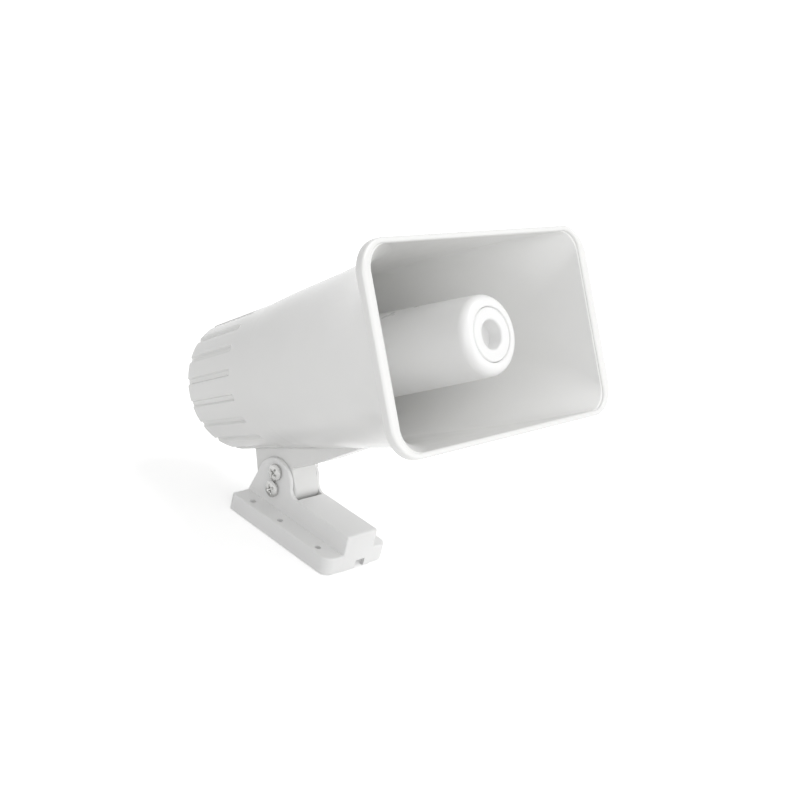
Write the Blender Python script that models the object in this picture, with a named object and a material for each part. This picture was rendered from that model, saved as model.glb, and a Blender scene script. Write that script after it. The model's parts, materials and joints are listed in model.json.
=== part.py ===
"""Rectangular reflex horn loudspeaker on a screw-down tilting bracket.

The row frame has X along the mouth's width, -Y out of the front and +Z up.  Every piece of the tilting
head is drawn in the horn's own frame: x across, y up the mouth, z out of the mouth, so a point at depth s
behind the mouth has z = -s.  The head hangs on an empty on the pivot screw's axis.
"""
import math

import bmesh
import bpy
import numpy as np

# ---------------------------------------------------------------- clearances
SEAT = 0.0003                  # left between two pieces that touch
SIDE_PLAY = 0.0004             # between the foot and each ear

# ---------------------------------------------------------------- stance
TILT_AT_REST = 31.42           # degrees that the horn's axis points up
PIVOT_HEIGHT = 0.0372          # pivot screw above the mounting surface
PIVOT_Y = 0.0392               # pivot screw behind the middle of the object's length
PIVOT_DEPTH = 0.1997           # pivot screw behind the mouth plane, along the axis
PIVOT_DROP = 0.0634            # pivot screw below the horn's axis

# ---------------------------------------------------------------- mouth and flare
MOUTH_WIDTH = 0.2056
MOUTH_HEIGHT = 0.1214
LIP_SIDE = 0.0076              # width of the lip at the mouth's two ends
LIP_TOP = 0.0036               # and along its top and bottom
LIP_CORNER = 0.0130            # corner radius of the opening
RIM_DEPTH = 0.0058
RIM_CORNER = 0.0200            # outer corner radius of the rim
RIM_EDGE = 0.0018              # rounding of the rim's edges
SHELL_WALL = 0.0028
FLARE_LENGTH = 0.168           # mouth plane to where the flare meets the round housing
FLARE_BEND_WIDE = 1.7          # 1 is a straight side, more flares late, less flares early
FLARE_BEND_HIGH = 0.57
CORNER_BEND = 6.0              # how fast the corners open out into the round
RING_STEPS = 8

# ---------------------------------------------------------------- round rear housing
HOUSING_END = 0.2410           # rear face behind the mouth plane
HOUSING_RADIUS = 0.0451        # at the rear face
HOUSING_TAPER = 0.070          # radius gained per length towards the front
HOUSING_EDGE = 0.0050
GROOVE_COUNT = 18
GROOVE_START = 0.1890
GROOVE_DEPTH = 0.0020
GROOVE_WIDTH = 0.0049
GROOVE_DRAFT = 0.0006
CHAMBER_WALL = 0.0056          # grooves included
BULKHEAD_WALL = 0.0040
BULKHEAD_BORE = 0.0240         # radius
BOWL_RADIUS = 0.0080           # turns the sound round at the rear of the flare

# ---------------------------------------------------------------- tilt foot
FOOT_WIDTH = 0.0216
FOOT_FRONT = 0.0128            # front face ahead of the pivot
FOOT_ROUND = 0.0240            # rounded end about the pivot, flush with the rear face
KEEL_REACH = 0.0780            # keel's tip ahead of the pivot
KEEL_START_DROP = 0.0006       # keel's underside above the pivot, at the foot
KEEL_MID_REACH = 0.0407
KEEL_MID_DROP = 0.0024
KEEL_TIP_STEP = 0.0010         # keel's tip below the shell
FOOT_BURY = 0.0020             # how far the foot's top runs into the shell's wall
FOOT_EDGE = 0.0008

# ---------------------------------------------------------------- tilt screws
SCREW_RADIUS = 0.0030
SCREW_HEAD_RADIUS = 0.0058
SCREW_HEAD_HEIGHT = 0.0030
SCREW_SPACING = 0.0124
CROSS_DEPTH = 0.0016
CROSS_LENGTH = 0.0064
CROSS_WIDTH = 0.0013
WASHER_RADIUS = 0.0060
WASHER_THICKNESS = 0.0010
NUT_ACROSS_FLATS = 0.0100
NUT_THICKNESS = 0.0050
THREAD_PROUD = 0.0015          # screw end past its nut
TILT_UP = 30.0                 # degrees from rest
TILT_DOWN = 35.0
SLOT_SPARE = 1.0               # degrees left past each limit

# ---------------------------------------------------------------- bracket
BRACKET_FRONT = 0.0748         # ahead of the pivot
BRACKET_REAR = 0.0236          # behind the pivot
FLANGE_WIDTH = 0.0568
FLANGE_HEIGHT = 0.0127
FLANGE_CORNER_FRONT = 0.0070
FLANGE_CORNER_REAR = 0.0020
BLOCK_HEIGHT = 0.0268
EAR_THICKNESS = 0.00265
EAR_RADIUS = 0.0165
EAR_CENTRE_DROP = 0.0074       # centre of the ear's round top below the pivot
EAR_CENTRE_BACK = 0.0006
EAR_FILLET = 0.0075
BRACKET_WALL = 0.0030
BRACKET_EDGE = 0.0010
OPENING_FRONT = 0.0226         # front edge of the top opening, ahead of the pivot
SCREW_HOLE_RADIUS = 0.0021
SCREW_HOLE_SIDE = 0.0226       # from the middle
SCREW_HOLE_REAR = 0.0078       # rearmost pair behind the pivot
SCREW_HOLE_STEP_REAR = 0.0283
SCREW_HOLE_STEP_FRONT = 0.0381
NOTCH_WIDTH = 0.0084
NOTCH_HEIGHT = 0.0060
NOTCH_OFFSET = 0.0033

# ---------------------------------------------------------------- reflector bullet and nose cap
BULLET_RADIUS = 0.0250
BULLET_SPREAD = 0.0010         # gained by the rear end
BULLET_FRONT = 0.0050          # behind the mouth plane
BULLET_END = 0.1480
BULLET_WALL = 0.0025
NOSE_ROUND = 0.0060
CAP_RADIUS = 0.0163
CAP_THICKNESS = 0.0030
CAP_CUP_RADIUS = 0.0108
CAP_HOLE_RADIUS = 0.0088
CAP_CUP_DEPTH = 0.0120
NOSE_WALL = 0.0080             # front wall of the bullet, cap seat included

# ---------------------------------------------------------------- throat tube and driver
TUBE_FRONT = 0.0300            # tube's open end behind the mouth plane
TUBE_RADIUS = 0.0125
TUBE_WALL = 0.0020
TUBE_FLANGE_RADIUS = 0.0320
TUBE_FLANGE_THICKNESS = 0.0060
THROAT_RADIUS = 0.0095         # at the driver
FIN_COUNT = 3
FIN_THICKNESS = 0.0022
FIN_FRONT = 0.0500
FIN_END = 0.1300
PAPER_THICKNESS = 0.0010       # throat gasket and cover gasket
PLUG_RADIUS = 0.0050
PLUG_LENGTH = 0.0160
PLUG_RIB = 0.0014
CLAMP_INNER_RADIUS = 0.0215
CLAMP_THICKNESS = 0.0015
DIAPHRAGM_RADIUS = 0.0208
DIAPHRAGM_THICKNESS = 0.0006
DOME_RADIUS = 0.0158
DOME_RISE = 0.0035
COIL_WALL = 0.0010
COIL_LENGTH = 0.0070
POLE_RADIUS = 0.0142
AIR_GAP = 0.0032               # between the pole and the top plate
PLATE_RADIUS = 0.0320
PLATE_THICKNESS = 0.0045
MAGNET_RADIUS = 0.0246
MAGNET_BORE = 0.0180
MAGNET_THICKNESS = 0.0120
BACK_PLATE_RADIUS = 0.0235
DRIVER_SCREW_CIRCLE = 0.0283
DRIVER_SCREW_RADIUS = 0.0018
DRIVER_HEAD_RADIUS = 0.0030
DRIVER_HEAD_HEIGHT = 0.0022
DRIVER_SCREW_COUNT = 4
DRIVER_THREAD = 0.0028         # how far the screws bite into the bulkhead
TERMINAL_WIDTH = 0.0160
TERMINAL_HEIGHT = 0.0100
TERMINAL_THICKNESS = 0.0016
TAB_WIDTH = 0.0048
TAB_LENGTH = 0.0080
TAB_THICKNESS = 0.0008

# ---------------------------------------------------------------- rear cover
COVER_RADIUS = 0.0410
COVER_THICKNESS = 0.0035
COVER_LEDGE = 0.0018
COVER_DISH = 0.0008
POST_COUNT = 4
POST_CIRCLE = 0.0365
POST_RADIUS = 0.0040
POST_LENGTH = 0.0180
COVER_SCREW_RADIUS = 0.0014
COVER_HEAD_RADIUS = 0.0027
COVER_HEAD_HEIGHT = 0.0018
COVER_SCREW_LENGTH = 0.0110
GROMMET_RADIUS = 0.0050
GROMMET_LIP = 0.0070
GROMMET_BORE = 0.0030
GROMMET_DROP = 0.0180          # below the cover's middle
GROMMET_LIP_THICKNESS = 0.0018

# ---------------------------------------------------------------- fineness of the round forms
SEGMENTS = 28
ROUND_SEGMENTS = 20            # smaller lathe forms
SMALL_SEGMENTS = 16
PIN_SEGMENTS = 10
CAVITY_SEGMENTS = 52
OVERCUT = 0.0020               # cutters run this far past what they cut


# ================================================================ tools
def clear_scene():
    for thing in list(bpy.data.objects):
        bpy.data.objects.remove(thing, do_unlink=True)


def finish(name, color, roughness, metallic=0.0):
    """A plain Principled material in the piece's own colour."""
    made = bpy.data.materials.new(name)
    made.use_nodes = True
    shader = made.node_tree.nodes["Principled BSDF"]
    shader.inputs["Base Color"].default_value = (*color, 1.0)
    shader.inputs["Roughness"].default_value = roughness
    shader.inputs["Metallic"].default_value = metallic
    return made


def add_object(name, bm, parent, place=(0.0, 0.0, 0.0), turn=(0.0, 0.0, 0.0), sharp=35.0):
    """Turn the bmesh into an object of its own under the parent."""
    bmesh.ops.recalc_face_normals(bm, faces=bm.faces)
    mesh = bpy.data.meshes.new(name)
    bm.to_mesh(mesh)
    bm.free()
    mesh.shade_smooth()
    mesh.set_sharp_from_angle(angle=math.radians(sharp))
    made = bpy.data.objects.new(name, mesh)
    bpy.context.scene.collection.objects.link(made)
    made.parent = parent
    made.location = place
    made.rotation_euler = turn
    return made


def add_piece(name, bm, parent, color, roughness, metallic=0.0, **placing):
    made = add_object(name, bm, parent, **placing)
    made.data.materials.append(finish(name, color, roughness, metallic))
    return made


def add_copies(name, parent, centres, z, shape):
    """Identical steel pieces, numbered, each an object of its own on its centre."""
    made = []
    for number, (x, y) in enumerate(centres, start=1):
        made.append(add_piece(f"{name}_{number}", shape(), parent, STEEL, 0.3, 1.0, place=(x, y, z)))
    return made


def add_empty(name, parent, place, turn=(0.0, 0.0, 0.0)):
    made = bpy.data.objects.new(name, None)
    bpy.context.scene.collection.objects.link(made)
    made.parent = parent
    made.location = place
    made.rotation_euler = turn
    return made


def join_rings(bm, rings, closed=False, caps=True):
    """Faces between rings of points; a closed set runs back to its first ring."""
    rows = [[bm.verts.new(point) for point in ring] for ring in rings]
    pairs = list(zip(rows, rows[1:]))
    if closed:
        pairs.append((rows[-1], rows[0]))
    for near, far in pairs:
        count = max(len(near), len(far))
        for k in range(count):
            corners = [near[k % len(near)], near[(k + 1) % len(near)]]
            corners += [far[(k + 1) % len(far)], far[k % len(far)]]
            bm.faces.new(list(dict.fromkeys(corners)))
    if caps and not closed:
        for row in (rows[0], rows[-1]):
            if len(row) > 2:
                bm.faces.new(row)


def circle(radius, z, count, phase=0.0):
    if radius == 0.0:
        return [(0.0, 0.0, z)]
    angles = phase + np.arange(count) * 2.0 * np.pi / count
    return [(radius * math.cos(a), radius * math.sin(a), z) for a in angles]


def turned(profile, segments=SEGMENTS, closed=False, bm=None, centre=(0.0, 0.0), phase=0.0):
    """A lathe form about z from (radius, z) points; a ring's profile is closed."""
    bm = bm or bmesh.new()
    rings = [circle(radius, z, segments, phase) for radius, z in profile]
    rings = [[(x + centre[0], y + centre[1], z) for x, y, z in ring] for ring in rings]
    join_rings(bm, rings, closed=closed)
    return bm


def ring_form(inner, outer, low, high, segments=SEGMENTS):
    """A plain ring between two radii and two heights."""
    return turned([(inner, low), (outer, low), (outer, high), (inner, high)], segments, closed=True)


def prism(outline, low, high, bm=None, along="z"):
    """A flat outline pushed from low to high along one axis of its own frame."""
    bm = bm or bmesh.new()
    order = {"z": lambda u, v, w: (u, v, w), "x": lambda u, v, w: (w, u, v)}[along]
    join_rings(bm, [[order(u, v, w) for u, v in outline] for w in (low, high)])
    return bm


def box(bm, low, high):
    """A box between two corners, added to the bmesh."""
    outline = [(low[0], low[1]), (high[0], low[1]), (high[0], high[1]), (low[0], high[1])]
    return prism(outline, low[2], high[2], bm)


def arc(centre, radius, start, stop, steps):
    """Points of an arc in degrees, both ends included."""
    angles = np.radians(np.linspace(start, stop, steps + 1))
    return [(centre[0] + radius * math.cos(a), centre[1] + radius * math.sin(a)) for a in angles]


def around(count, radius, phase=0.0):
    """Centres spread evenly on a circle."""
    angles = [phase + 2.0 * math.pi * k / count for k in range(count)]
    return [(radius * math.cos(a), radius * math.sin(a)) for a in angles]


def pins(centres, radius, low, high, segments=SMALL_SEGMENTS):
    """Separate upright cylinders, kept in one bmesh."""
    bm = bmesh.new()
    for centre in centres:
        turned([(radius, low), (radius, high)], segments, bm=bm, centre=centre)
    return bm


def carve(target, bm, operation="DIFFERENCE", **placing):
    """Cut the bmesh out of the target, or join it on, with a live exact Boolean."""
    tool = add_object(target.name + "_tool", bm, target.parent, **placing)
    tool.hide_render = True
    tool.display_type = "WIRE"
    modifier = target.modifiers.new(operation.title(), "BOOLEAN")
    modifier.operation = operation
    modifier.solver = "EXACT"
    modifier.object = tool
    return tool


def round_edges(target, width, segments=2, limit=40.0):
    """A Bevel on the target's sharp edges."""
    modifier = target.modifiers.new("Edges", "BEVEL")
    modifier.width = width
    modifier.segments = segments
    modifier.limit_method = "ANGLE"
    modifier.angle_limit = math.radians(limit)
    return modifier


# ================================================================ horn sections
def housing_radius(depth):
    return HOUSING_RADIUS + HOUSING_TAPER * (HOUSING_END - depth)


FLARE_END_RADIUS = housing_radius(FLARE_LENGTH) - SHELL_WALL


def ring_angles():
    """Four angles for each groove: the top and the foot of both its walls."""
    pitch = 2.0 * math.pi / GROOVE_COUNT
    edge = 0.5 * GROOVE_WIDTH / HOUSING_RADIUS
    floor = edge - GROOVE_DRAFT / HOUSING_RADIUS
    steps = (-edge, -floor, floor, edge)
    return np.array([k * pitch - 0.5 * math.pi + step for k in range(GROOVE_COUNT) for step in steps])


def groove_floor():
    """True for the ring points that lie on a groove's floor."""
    return np.tile([False, True, True, False], GROOVE_COUNT)


def section(depth, half_width, half_height, corner, angles, sink=0.0):
    """A rounded rectangle at a depth behind the mouth; equal half sizes and corner make a circle."""
    cos = np.round(np.cos(angles), 9)
    sin = np.round(np.sin(angles), 9)
    reach = corner - sink
    x = np.sign(cos) * (half_width - corner) + reach * cos
    y = np.sign(sin) * (half_height - corner) + reach * sin
    return [(float(u), float(v), -depth) for u, v in zip(x, y)]


def flare_size(depth):
    """Half width, half height and corner radius of the flare's inside at a depth."""
    left = 1.0 - min(max(depth / FLARE_LENGTH, 0.0), 1.0)
    wide = 0.5 * MOUTH_WIDTH - LIP_SIDE - FLARE_END_RADIUS
    high = 0.5 * MOUTH_HEIGHT - LIP_TOP - FLARE_END_RADIUS
    corner = LIP_CORNER - FLARE_END_RADIUS
    half_width = FLARE_END_RADIUS + wide * left ** FLARE_BEND_WIDE
    half_height = FLARE_END_RADIUS + high * left ** FLARE_BEND_HIGH
    return half_width, half_height, FLARE_END_RADIUS + corner * left ** CORNER_BEND


def crowded(start, end, steps):
    """Depths from start to end that lie closer together at both ends."""
    turns = np.linspace(0.0, np.pi, steps + 1)
    return start + (end - start) * (0.5 - 0.5 * np.cos(turns))


def grown(size, by):
    return tuple(value + by for value in size)


def bell_outside():
    """The solid outer form: rolled rim, flare and grooved round housing."""
    angles = ring_angles()
    rim = (0.5 * MOUTH_WIDTH, 0.5 * MOUTH_HEIGHT, RIM_CORNER)
    rings = []
    for turn in (90.0, 45.0, 0.0):
        depth = RIM_EDGE * (1.0 - math.sin(math.radians(turn)))
        inset = RIM_EDGE * (1.0 - math.cos(math.radians(turn)))
        rings.append(section(depth, *grown(rim, -inset), angles))
    rings.append(section(RIM_DEPTH - 0.5 * RIM_EDGE, *rim, angles))
    rings.append(section(RIM_DEPTH, *grown(rim, -0.5 * RIM_EDGE), angles))
    for depth in crowded(RIM_DEPTH + 0.5 * RIM_EDGE, FLARE_LENGTH, RING_STEPS):
        rings.append(section(depth, *grown(flare_size(depth), SHELL_WALL), angles))
    groove_end = HOUSING_END - HOUSING_EDGE
    radius = housing_radius(GROOVE_START)
    rings.append(section(GROOVE_START, radius, radius, radius, angles))
    sink = np.where(groove_floor(), GROOVE_DEPTH, 0.0)
    for depth in (GROOVE_START + GROOVE_DRAFT, groove_end):
        radius = housing_radius(depth)
        rings.append(section(depth, radius, radius, radius, angles, sink))
    for turn in (30.0, 60.0, 90.0):
        depth = groove_end + HOUSING_EDGE * math.sin(math.radians(turn))
        radius = housing_radius(depth) - HOUSING_EDGE * (1.0 - math.cos(math.radians(turn)))
        rings.append(section(depth, radius, radius, radius, angles, sink * math.cos(math.radians(turn))))
    bm = bmesh.new()
    join_rings(bm, rings)
    return bm


def horn_cavity():
    """The air space of the flare, down to the bowl that turns the sound round."""
    angles = (np.arange(CAVITY_SEGMENTS) + 0.5) * 2.0 * np.pi / CAVITY_SEGMENTS
    mouth = flare_size(0.0)
    rings = [section(-OVERCUT, *grown(mouth, 0.5 * RIM_EDGE), angles)]
    rings.append(section(0.0, *grown(mouth, 0.5 * RIM_EDGE), angles))
    bowl_start = FLARE_LENGTH - BOWL_RADIUS
    for depth in crowded(0.5 * RIM_EDGE, bowl_start, RING_STEPS):
        rings.append(section(depth, *flare_size(depth), angles))
    for turn in (30.0, 60.0, 90.0):
        depth = bowl_start + BOWL_RADIUS * math.sin(math.radians(turn))
        inset = BOWL_RADIUS * (1.0 - math.cos(math.radians(turn)))
        rings.append(section(depth, *grown(flare_size(depth), -inset), angles))
    bm = bmesh.new()
    join_rings(bm, rings)
    return bm


BULKHEAD_REAR = FLARE_LENGTH + BULKHEAD_WALL
LEDGE_DEPTH = HOUSING_END - COVER_THICKNESS - PAPER_THICKNESS - 2.0 * SEAT
CHAMBER_REAR_RADIUS = COVER_RADIUS + SEAT - COVER_LEDGE
CHAMBER_FRONT_RADIUS = housing_radius(BULKHEAD_REAR) - CHAMBER_WALL


def driver_chamber():
    """The round space behind the bulkhead, the cover's recess and the bulkhead's bore."""
    recess = COVER_RADIUS + SEAT
    profile = [(BULKHEAD_BORE, -FLARE_LENGTH + OVERCUT), (BULKHEAD_BORE, -BULKHEAD_REAR)]
    profile += [(CHAMBER_FRONT_RADIUS, -BULKHEAD_REAR), (CHAMBER_REAR_RADIUS, -LEDGE_DEPTH)]
    profile += [(recess, -LEDGE_DEPTH), (recess, -HOUSING_END - OVERCUT)]
    return turned(profile, 2 * SEGMENTS)


def foot_outline():
    """Side view of the foot and keel about the pivot: (up, forward) points as (y, z)."""
    top = PIVOT_DROP

    def shell_bottom(forward):
        depth = PIVOT_DEPTH - forward
        if depth > FLARE_LENGTH:
            return top - housing_radius(depth)
        return top - flare_size(depth)[1] - SHELL_WALL

    start = math.degrees(math.asin(FOOT_FRONT / FOOT_ROUND))
    points = [(shell_bottom(-FOOT_ROUND) + FOOT_BURY, -FOOT_ROUND)]
    points += arc((0.0, 0.0), FOOT_ROUND, -90.0, -180.0 - start, 8)
    points += [(KEEL_START_DROP, FOOT_FRONT), (KEEL_MID_DROP, KEEL_MID_REACH)]
    tip = shell_bottom(KEEL_REACH)
    points += [(tip - KEEL_TIP_STEP, KEEL_REACH), (tip + FOOT_BURY, KEEL_REACH)]
    kink = PIVOT_DEPTH - FLARE_LENGTH
    return points + [(shell_bottom(kink) + FOOT_BURY, kink)]


def slot_outline():
    """The curved slot that the lock screw rides in, about the pivot, as (y, z) points."""
    half = SCREW_RADIUS + SEAT
    down = 180.0 + TILT_AT_REST
    first = down - TILT_DOWN - SLOT_SPARE
    last = down + TILT_UP + SLOT_SPARE
    outer = arc((0.0, 0.0), SCREW_SPACING + half, first, last, 10)
    inner = arc((0.0, 0.0), SCREW_SPACING - half, last, first, 10)
    end_last = place_on(SCREW_SPACING, last)
    end_first = place_on(SCREW_SPACING, first)
    cap_last = arc(end_last, half, last, last + 180.0, 6)[1:-1]
    cap_first = arc(end_first, half, first + 180.0, first + 360.0, 6)[1:-1]
    return outer + cap_last + inner + cap_first


def place_on(radius, degrees):
    angle = math.radians(degrees)
    return radius * math.cos(angle), radius * math.sin(angle)


# ================================================================ depths down the stack, from the mouth
GASKET_DEPTH = BULKHEAD_REAR + SEAT
TUBE_SEAT = GASKET_DEPTH + PAPER_THICKNESS + SEAT
TUBE_REAR = TUBE_SEAT + TUBE_FLANGE_THICKNESS
CLAMP_DEPTH = TUBE_REAR + SEAT
PLATE_DEPTH = CLAMP_DEPTH + CLAMP_THICKNESS + SEAT
MAGNET_DEPTH = PLATE_DEPTH + PLATE_THICKNESS + SEAT
BACK_DEPTH = MAGNET_DEPTH + MAGNET_THICKNESS + SEAT
BACK_REAR = BACK_DEPTH + PLATE_THICKNESS
BOARD_DEPTH = BACK_REAR + SEAT
BLOCK_WIDTH = FOOT_WIDTH + 2.0 * (SIDE_PLAY + EAR_THICKNESS)
WHITE = (0.86, 0.86, 0.85)
PALE = (0.80, 0.80, 0.79)
STEEL = (0.62, 0.62, 0.60)


# ================================================================ the tilting head
def build_bell(axis):
    """The one-piece bell: rim, flare, housing, foot, bulkhead and screw posts."""
    pivot = (0.0, -PIVOT_DROP, -PIVOT_DEPTH)
    half = 0.5 * FOOT_WIDTH
    bell = add_piece("horn_bell", bell_outside(), axis, WHITE, 0.32)
    foot = carve(bell, prism(foot_outline(), -half, half, along="x"), "UNION", place=pivot)
    round_edges(foot, FOOT_EDGE, segments=1)
    carve(bell, horn_cavity())
    carve(bell, driver_chamber())
    posts = around(POST_COUNT, POST_CIRCLE)
    post_rear = -LEDGE_DEPTH + SEAT
    carve(bell, pins(posts, POST_RADIUS, post_rear + POST_LENGTH, post_rear, PIN_SEGMENTS), "UNION")
    screw_end = -HOUSING_END + COVER_SCREW_LENGTH + SEAT
    carve(bell, pins(posts, COVER_SCREW_RADIUS + SEAT, -LEDGE_DEPTH - OVERCUT, screw_end, PIN_SEGMENTS))
    driver_screws = around(DRIVER_SCREW_COUNT, DRIVER_SCREW_CIRCLE, 0.25 * math.pi)
    bite = -BULKHEAD_REAR + DRIVER_THREAD + SEAT
    hole = DRIVER_SCREW_RADIUS + SEAT
    carve(bell, pins(driver_screws, hole, -BULKHEAD_REAR - OVERCUT, bite, PIN_SEGMENTS))
    across = half + OVERCUT
    bore = arc((0.0, 0.0), SCREW_RADIUS + SEAT, 0.0, 360.0, SMALL_SEGMENTS)[:-1]
    carve(bell, prism(bore, -across, across, along="x"), place=pivot)
    carve(bell, prism(slot_outline(), -across, across, along="x"), place=pivot)
    return bell


def build_bullet(axis):
    """The closed-nose shell that turns the sound back round the throat tube."""
    front = -BULLET_FRONT
    seat = CAP_RADIUS + SEAT
    cup = CAP_CUP_RADIUS + SEAT
    edge = BULLET_RADIUS - NOSE_ROUND
    profile = [(seat, front)]
    profile += arc((edge, front - NOSE_ROUND), NOSE_ROUND, 90.0, 0.0, 4)
    rear = BULLET_RADIUS + BULLET_SPREAD
    profile += [(rear, -BULLET_END), (rear - BULLET_WALL, -BULLET_END)]
    inside = BULLET_RADIUS - BULLET_WALL
    floor = front - NOSE_WALL
    profile += arc((inside - NOSE_ROUND, floor - NOSE_ROUND), NOSE_ROUND, 0.0, 90.0, 3)
    profile += [(cup, floor), (cup, front - CAP_THICKNESS - SEAT), (seat, front - CAP_THICKNESS - SEAT)]
    return add_piece("reflector_bullet", turned(profile, closed=True), axis, WHITE, 0.30)


def build_cap(axis):
    """The nose disc with its blind cup, let into the bullet's front."""
    rear = -CAP_CUP_DEPTH
    floor = rear + 0.5 * CAP_THICKNESS
    edge = 0.25 * CAP_THICKNESS
    profile = [(0.0, floor), (CAP_HOLE_RADIUS, floor), (CAP_HOLE_RADIUS, -edge)]
    profile += [(CAP_HOLE_RADIUS + edge, 0.0), (CAP_RADIUS - edge, 0.0), (CAP_RADIUS, -edge)]
    profile += [(CAP_RADIUS, -CAP_THICKNESS), (CAP_CUP_RADIUS, -CAP_THICKNESS)]
    profile += [(CAP_CUP_RADIUS, rear), (0.0, rear)]
    return add_piece("nose_cap", turned(profile), axis, WHITE, 0.28, place=(0.0, 0.0, -BULLET_FRONT))


def build_tube(axis):
    """The throat tube with its flange, its bowl and the fins that carry the bullet."""
    bowl_start = FLARE_LENGTH - BOWL_RADIUS
    shoulder = BULKHEAD_BORE - SEAT
    dish = DOME_RADIUS + 5.0 * SEAT
    dish_depth = TUBE_REAR - DOME_RISE - 3.0 * SEAT
    profile = [(TUBE_RADIUS, -TUBE_FRONT)]
    profile += arc((TUBE_RADIUS + BOWL_RADIUS, -bowl_start), BOWL_RADIUS, 180.0, 270.0, 4)
    profile += [(shoulder, -FLARE_LENGTH), (shoulder, -TUBE_SEAT)]
    profile += [(TUBE_FLANGE_RADIUS, -TUBE_SEAT), (TUBE_FLANGE_RADIUS, -TUBE_REAR)]
    profile += [(dish, -TUBE_REAR), (THROAT_RADIUS, -dish_depth)]
    profile += [(TUBE_RADIUS - TUBE_WALL, -TUBE_FRONT)]
    tube = add_piece("throat_tube", turned(profile, closed=True), axis, PALE, 0.40)
    fin_top = BULLET_RADIUS - BULLET_WALL - SEAT
    for k in range(FIN_COUNT):
        fin = box(bmesh.new(), (TUBE_RADIUS - 0.5 * TUBE_WALL, -0.5 * FIN_THICKNESS, -FIN_END),
                  (fin_top, 0.5 * FIN_THICKNESS, -FIN_FRONT))
        turn = (0.0, 0.0, math.radians(90.0 + k * 360.0 / FIN_COUNT))
        carve(tube, fin, "UNION", turn=turn)
    centres = around(DRIVER_SCREW_COUNT, DRIVER_SCREW_CIRCLE, 0.25 * math.pi)
    hole = DRIVER_SCREW_RADIUS + SEAT
    carve(tube, pins(centres, hole, -TUBE_SEAT + OVERCUT, -TUBE_REAR - OVERCUT, PIN_SEGMENTS))
    return tube


def drilled_ring(name, axis, inner, outer, depth, thickness, color, roughness, metallic=0.0):
    """A ring in the driver's stack, drilled for the driver screws."""
    made = add_piece(name, ring_form(inner, outer, 0.0, -thickness), axis, color, roughness,
                     metallic, place=(0.0, 0.0, -depth))
    centres = around(DRIVER_SCREW_COUNT, DRIVER_SCREW_CIRCLE, 0.25 * math.pi)
    holes = pins(centres, DRIVER_SCREW_RADIUS + SEAT, OVERCUT, -thickness - OVERCUT, PIN_SEGMENTS)
    carve(made, holes, place=(0.0, 0.0, -depth))
    return made


def build_phase_plug(axis):
    """A small plug in the throat, held off its wall by three ribs."""
    rear = TUBE_REAR - DOME_RISE - 6.0 * SEAT
    tip = PLUG_LENGTH
    profile = [(0.0, 0.0), (0.8 * PLUG_RADIUS, 0.0), (PLUG_RADIUS, 0.3 * PLUG_LENGTH)]
    profile += [(0.5 * PLUG_RADIUS, 0.8 * PLUG_LENGTH), (0.0, tip)]
    plug = add_piece("phase_plug", turned(profile, ROUND_SEGMENTS), axis, PALE, 0.45, place=(0.0, 0.0, -rear))
    for k in range(FIN_COUNT):
        low = (0.5 * PLUG_RADIUS, -0.5 * PLUG_RIB, 0.15 * PLUG_LENGTH)
        high = (THROAT_RADIUS - SEAT, 0.5 * PLUG_RIB, 0.45 * PLUG_LENGTH)
        turn = (0.0, 0.0, math.radians(90.0 + k * 360.0 / FIN_COUNT))
        carve(plug, box(bmesh.new(), low, high), "UNION", place=(0.0, 0.0, -rear), turn=turn)
    return plug


def build_diaphragm(axis):
    """A thin dome with a flat edge, and the voice coil behind it."""
    depth = CLAMP_DEPTH
    steps = np.linspace(0.0, 1.0, 5)
    front = [(DOME_RADIUS * t, DOME_RISE * (1.0 - t * t)) for t in steps]
    front.append((DIAPHRAGM_RADIUS, 0.0))
    back = [(radius, z - DIAPHRAGM_THICKNESS) for radius, z in reversed(front)]
    dome = turned(front + back, ROUND_SEGMENTS)
    add_piece("diaphragm", dome, axis, (0.55, 0.38, 0.20), 0.5, place=(0.0, 0.0, -depth))
    coil_depth = depth + DIAPHRAGM_THICKNESS + SEAT
    middle = POLE_RADIUS + 0.5 * AIR_GAP
    coil = ring_form(middle - 0.5 * COIL_WALL, middle + 0.5 * COIL_WALL, 0.0, -COIL_LENGTH, ROUND_SEGMENTS)
    add_piece("voice_coil", coil, axis, (0.72, 0.36, 0.15), 0.35, 0.8, place=(0.0, 0.0, -coil_depth))


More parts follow.
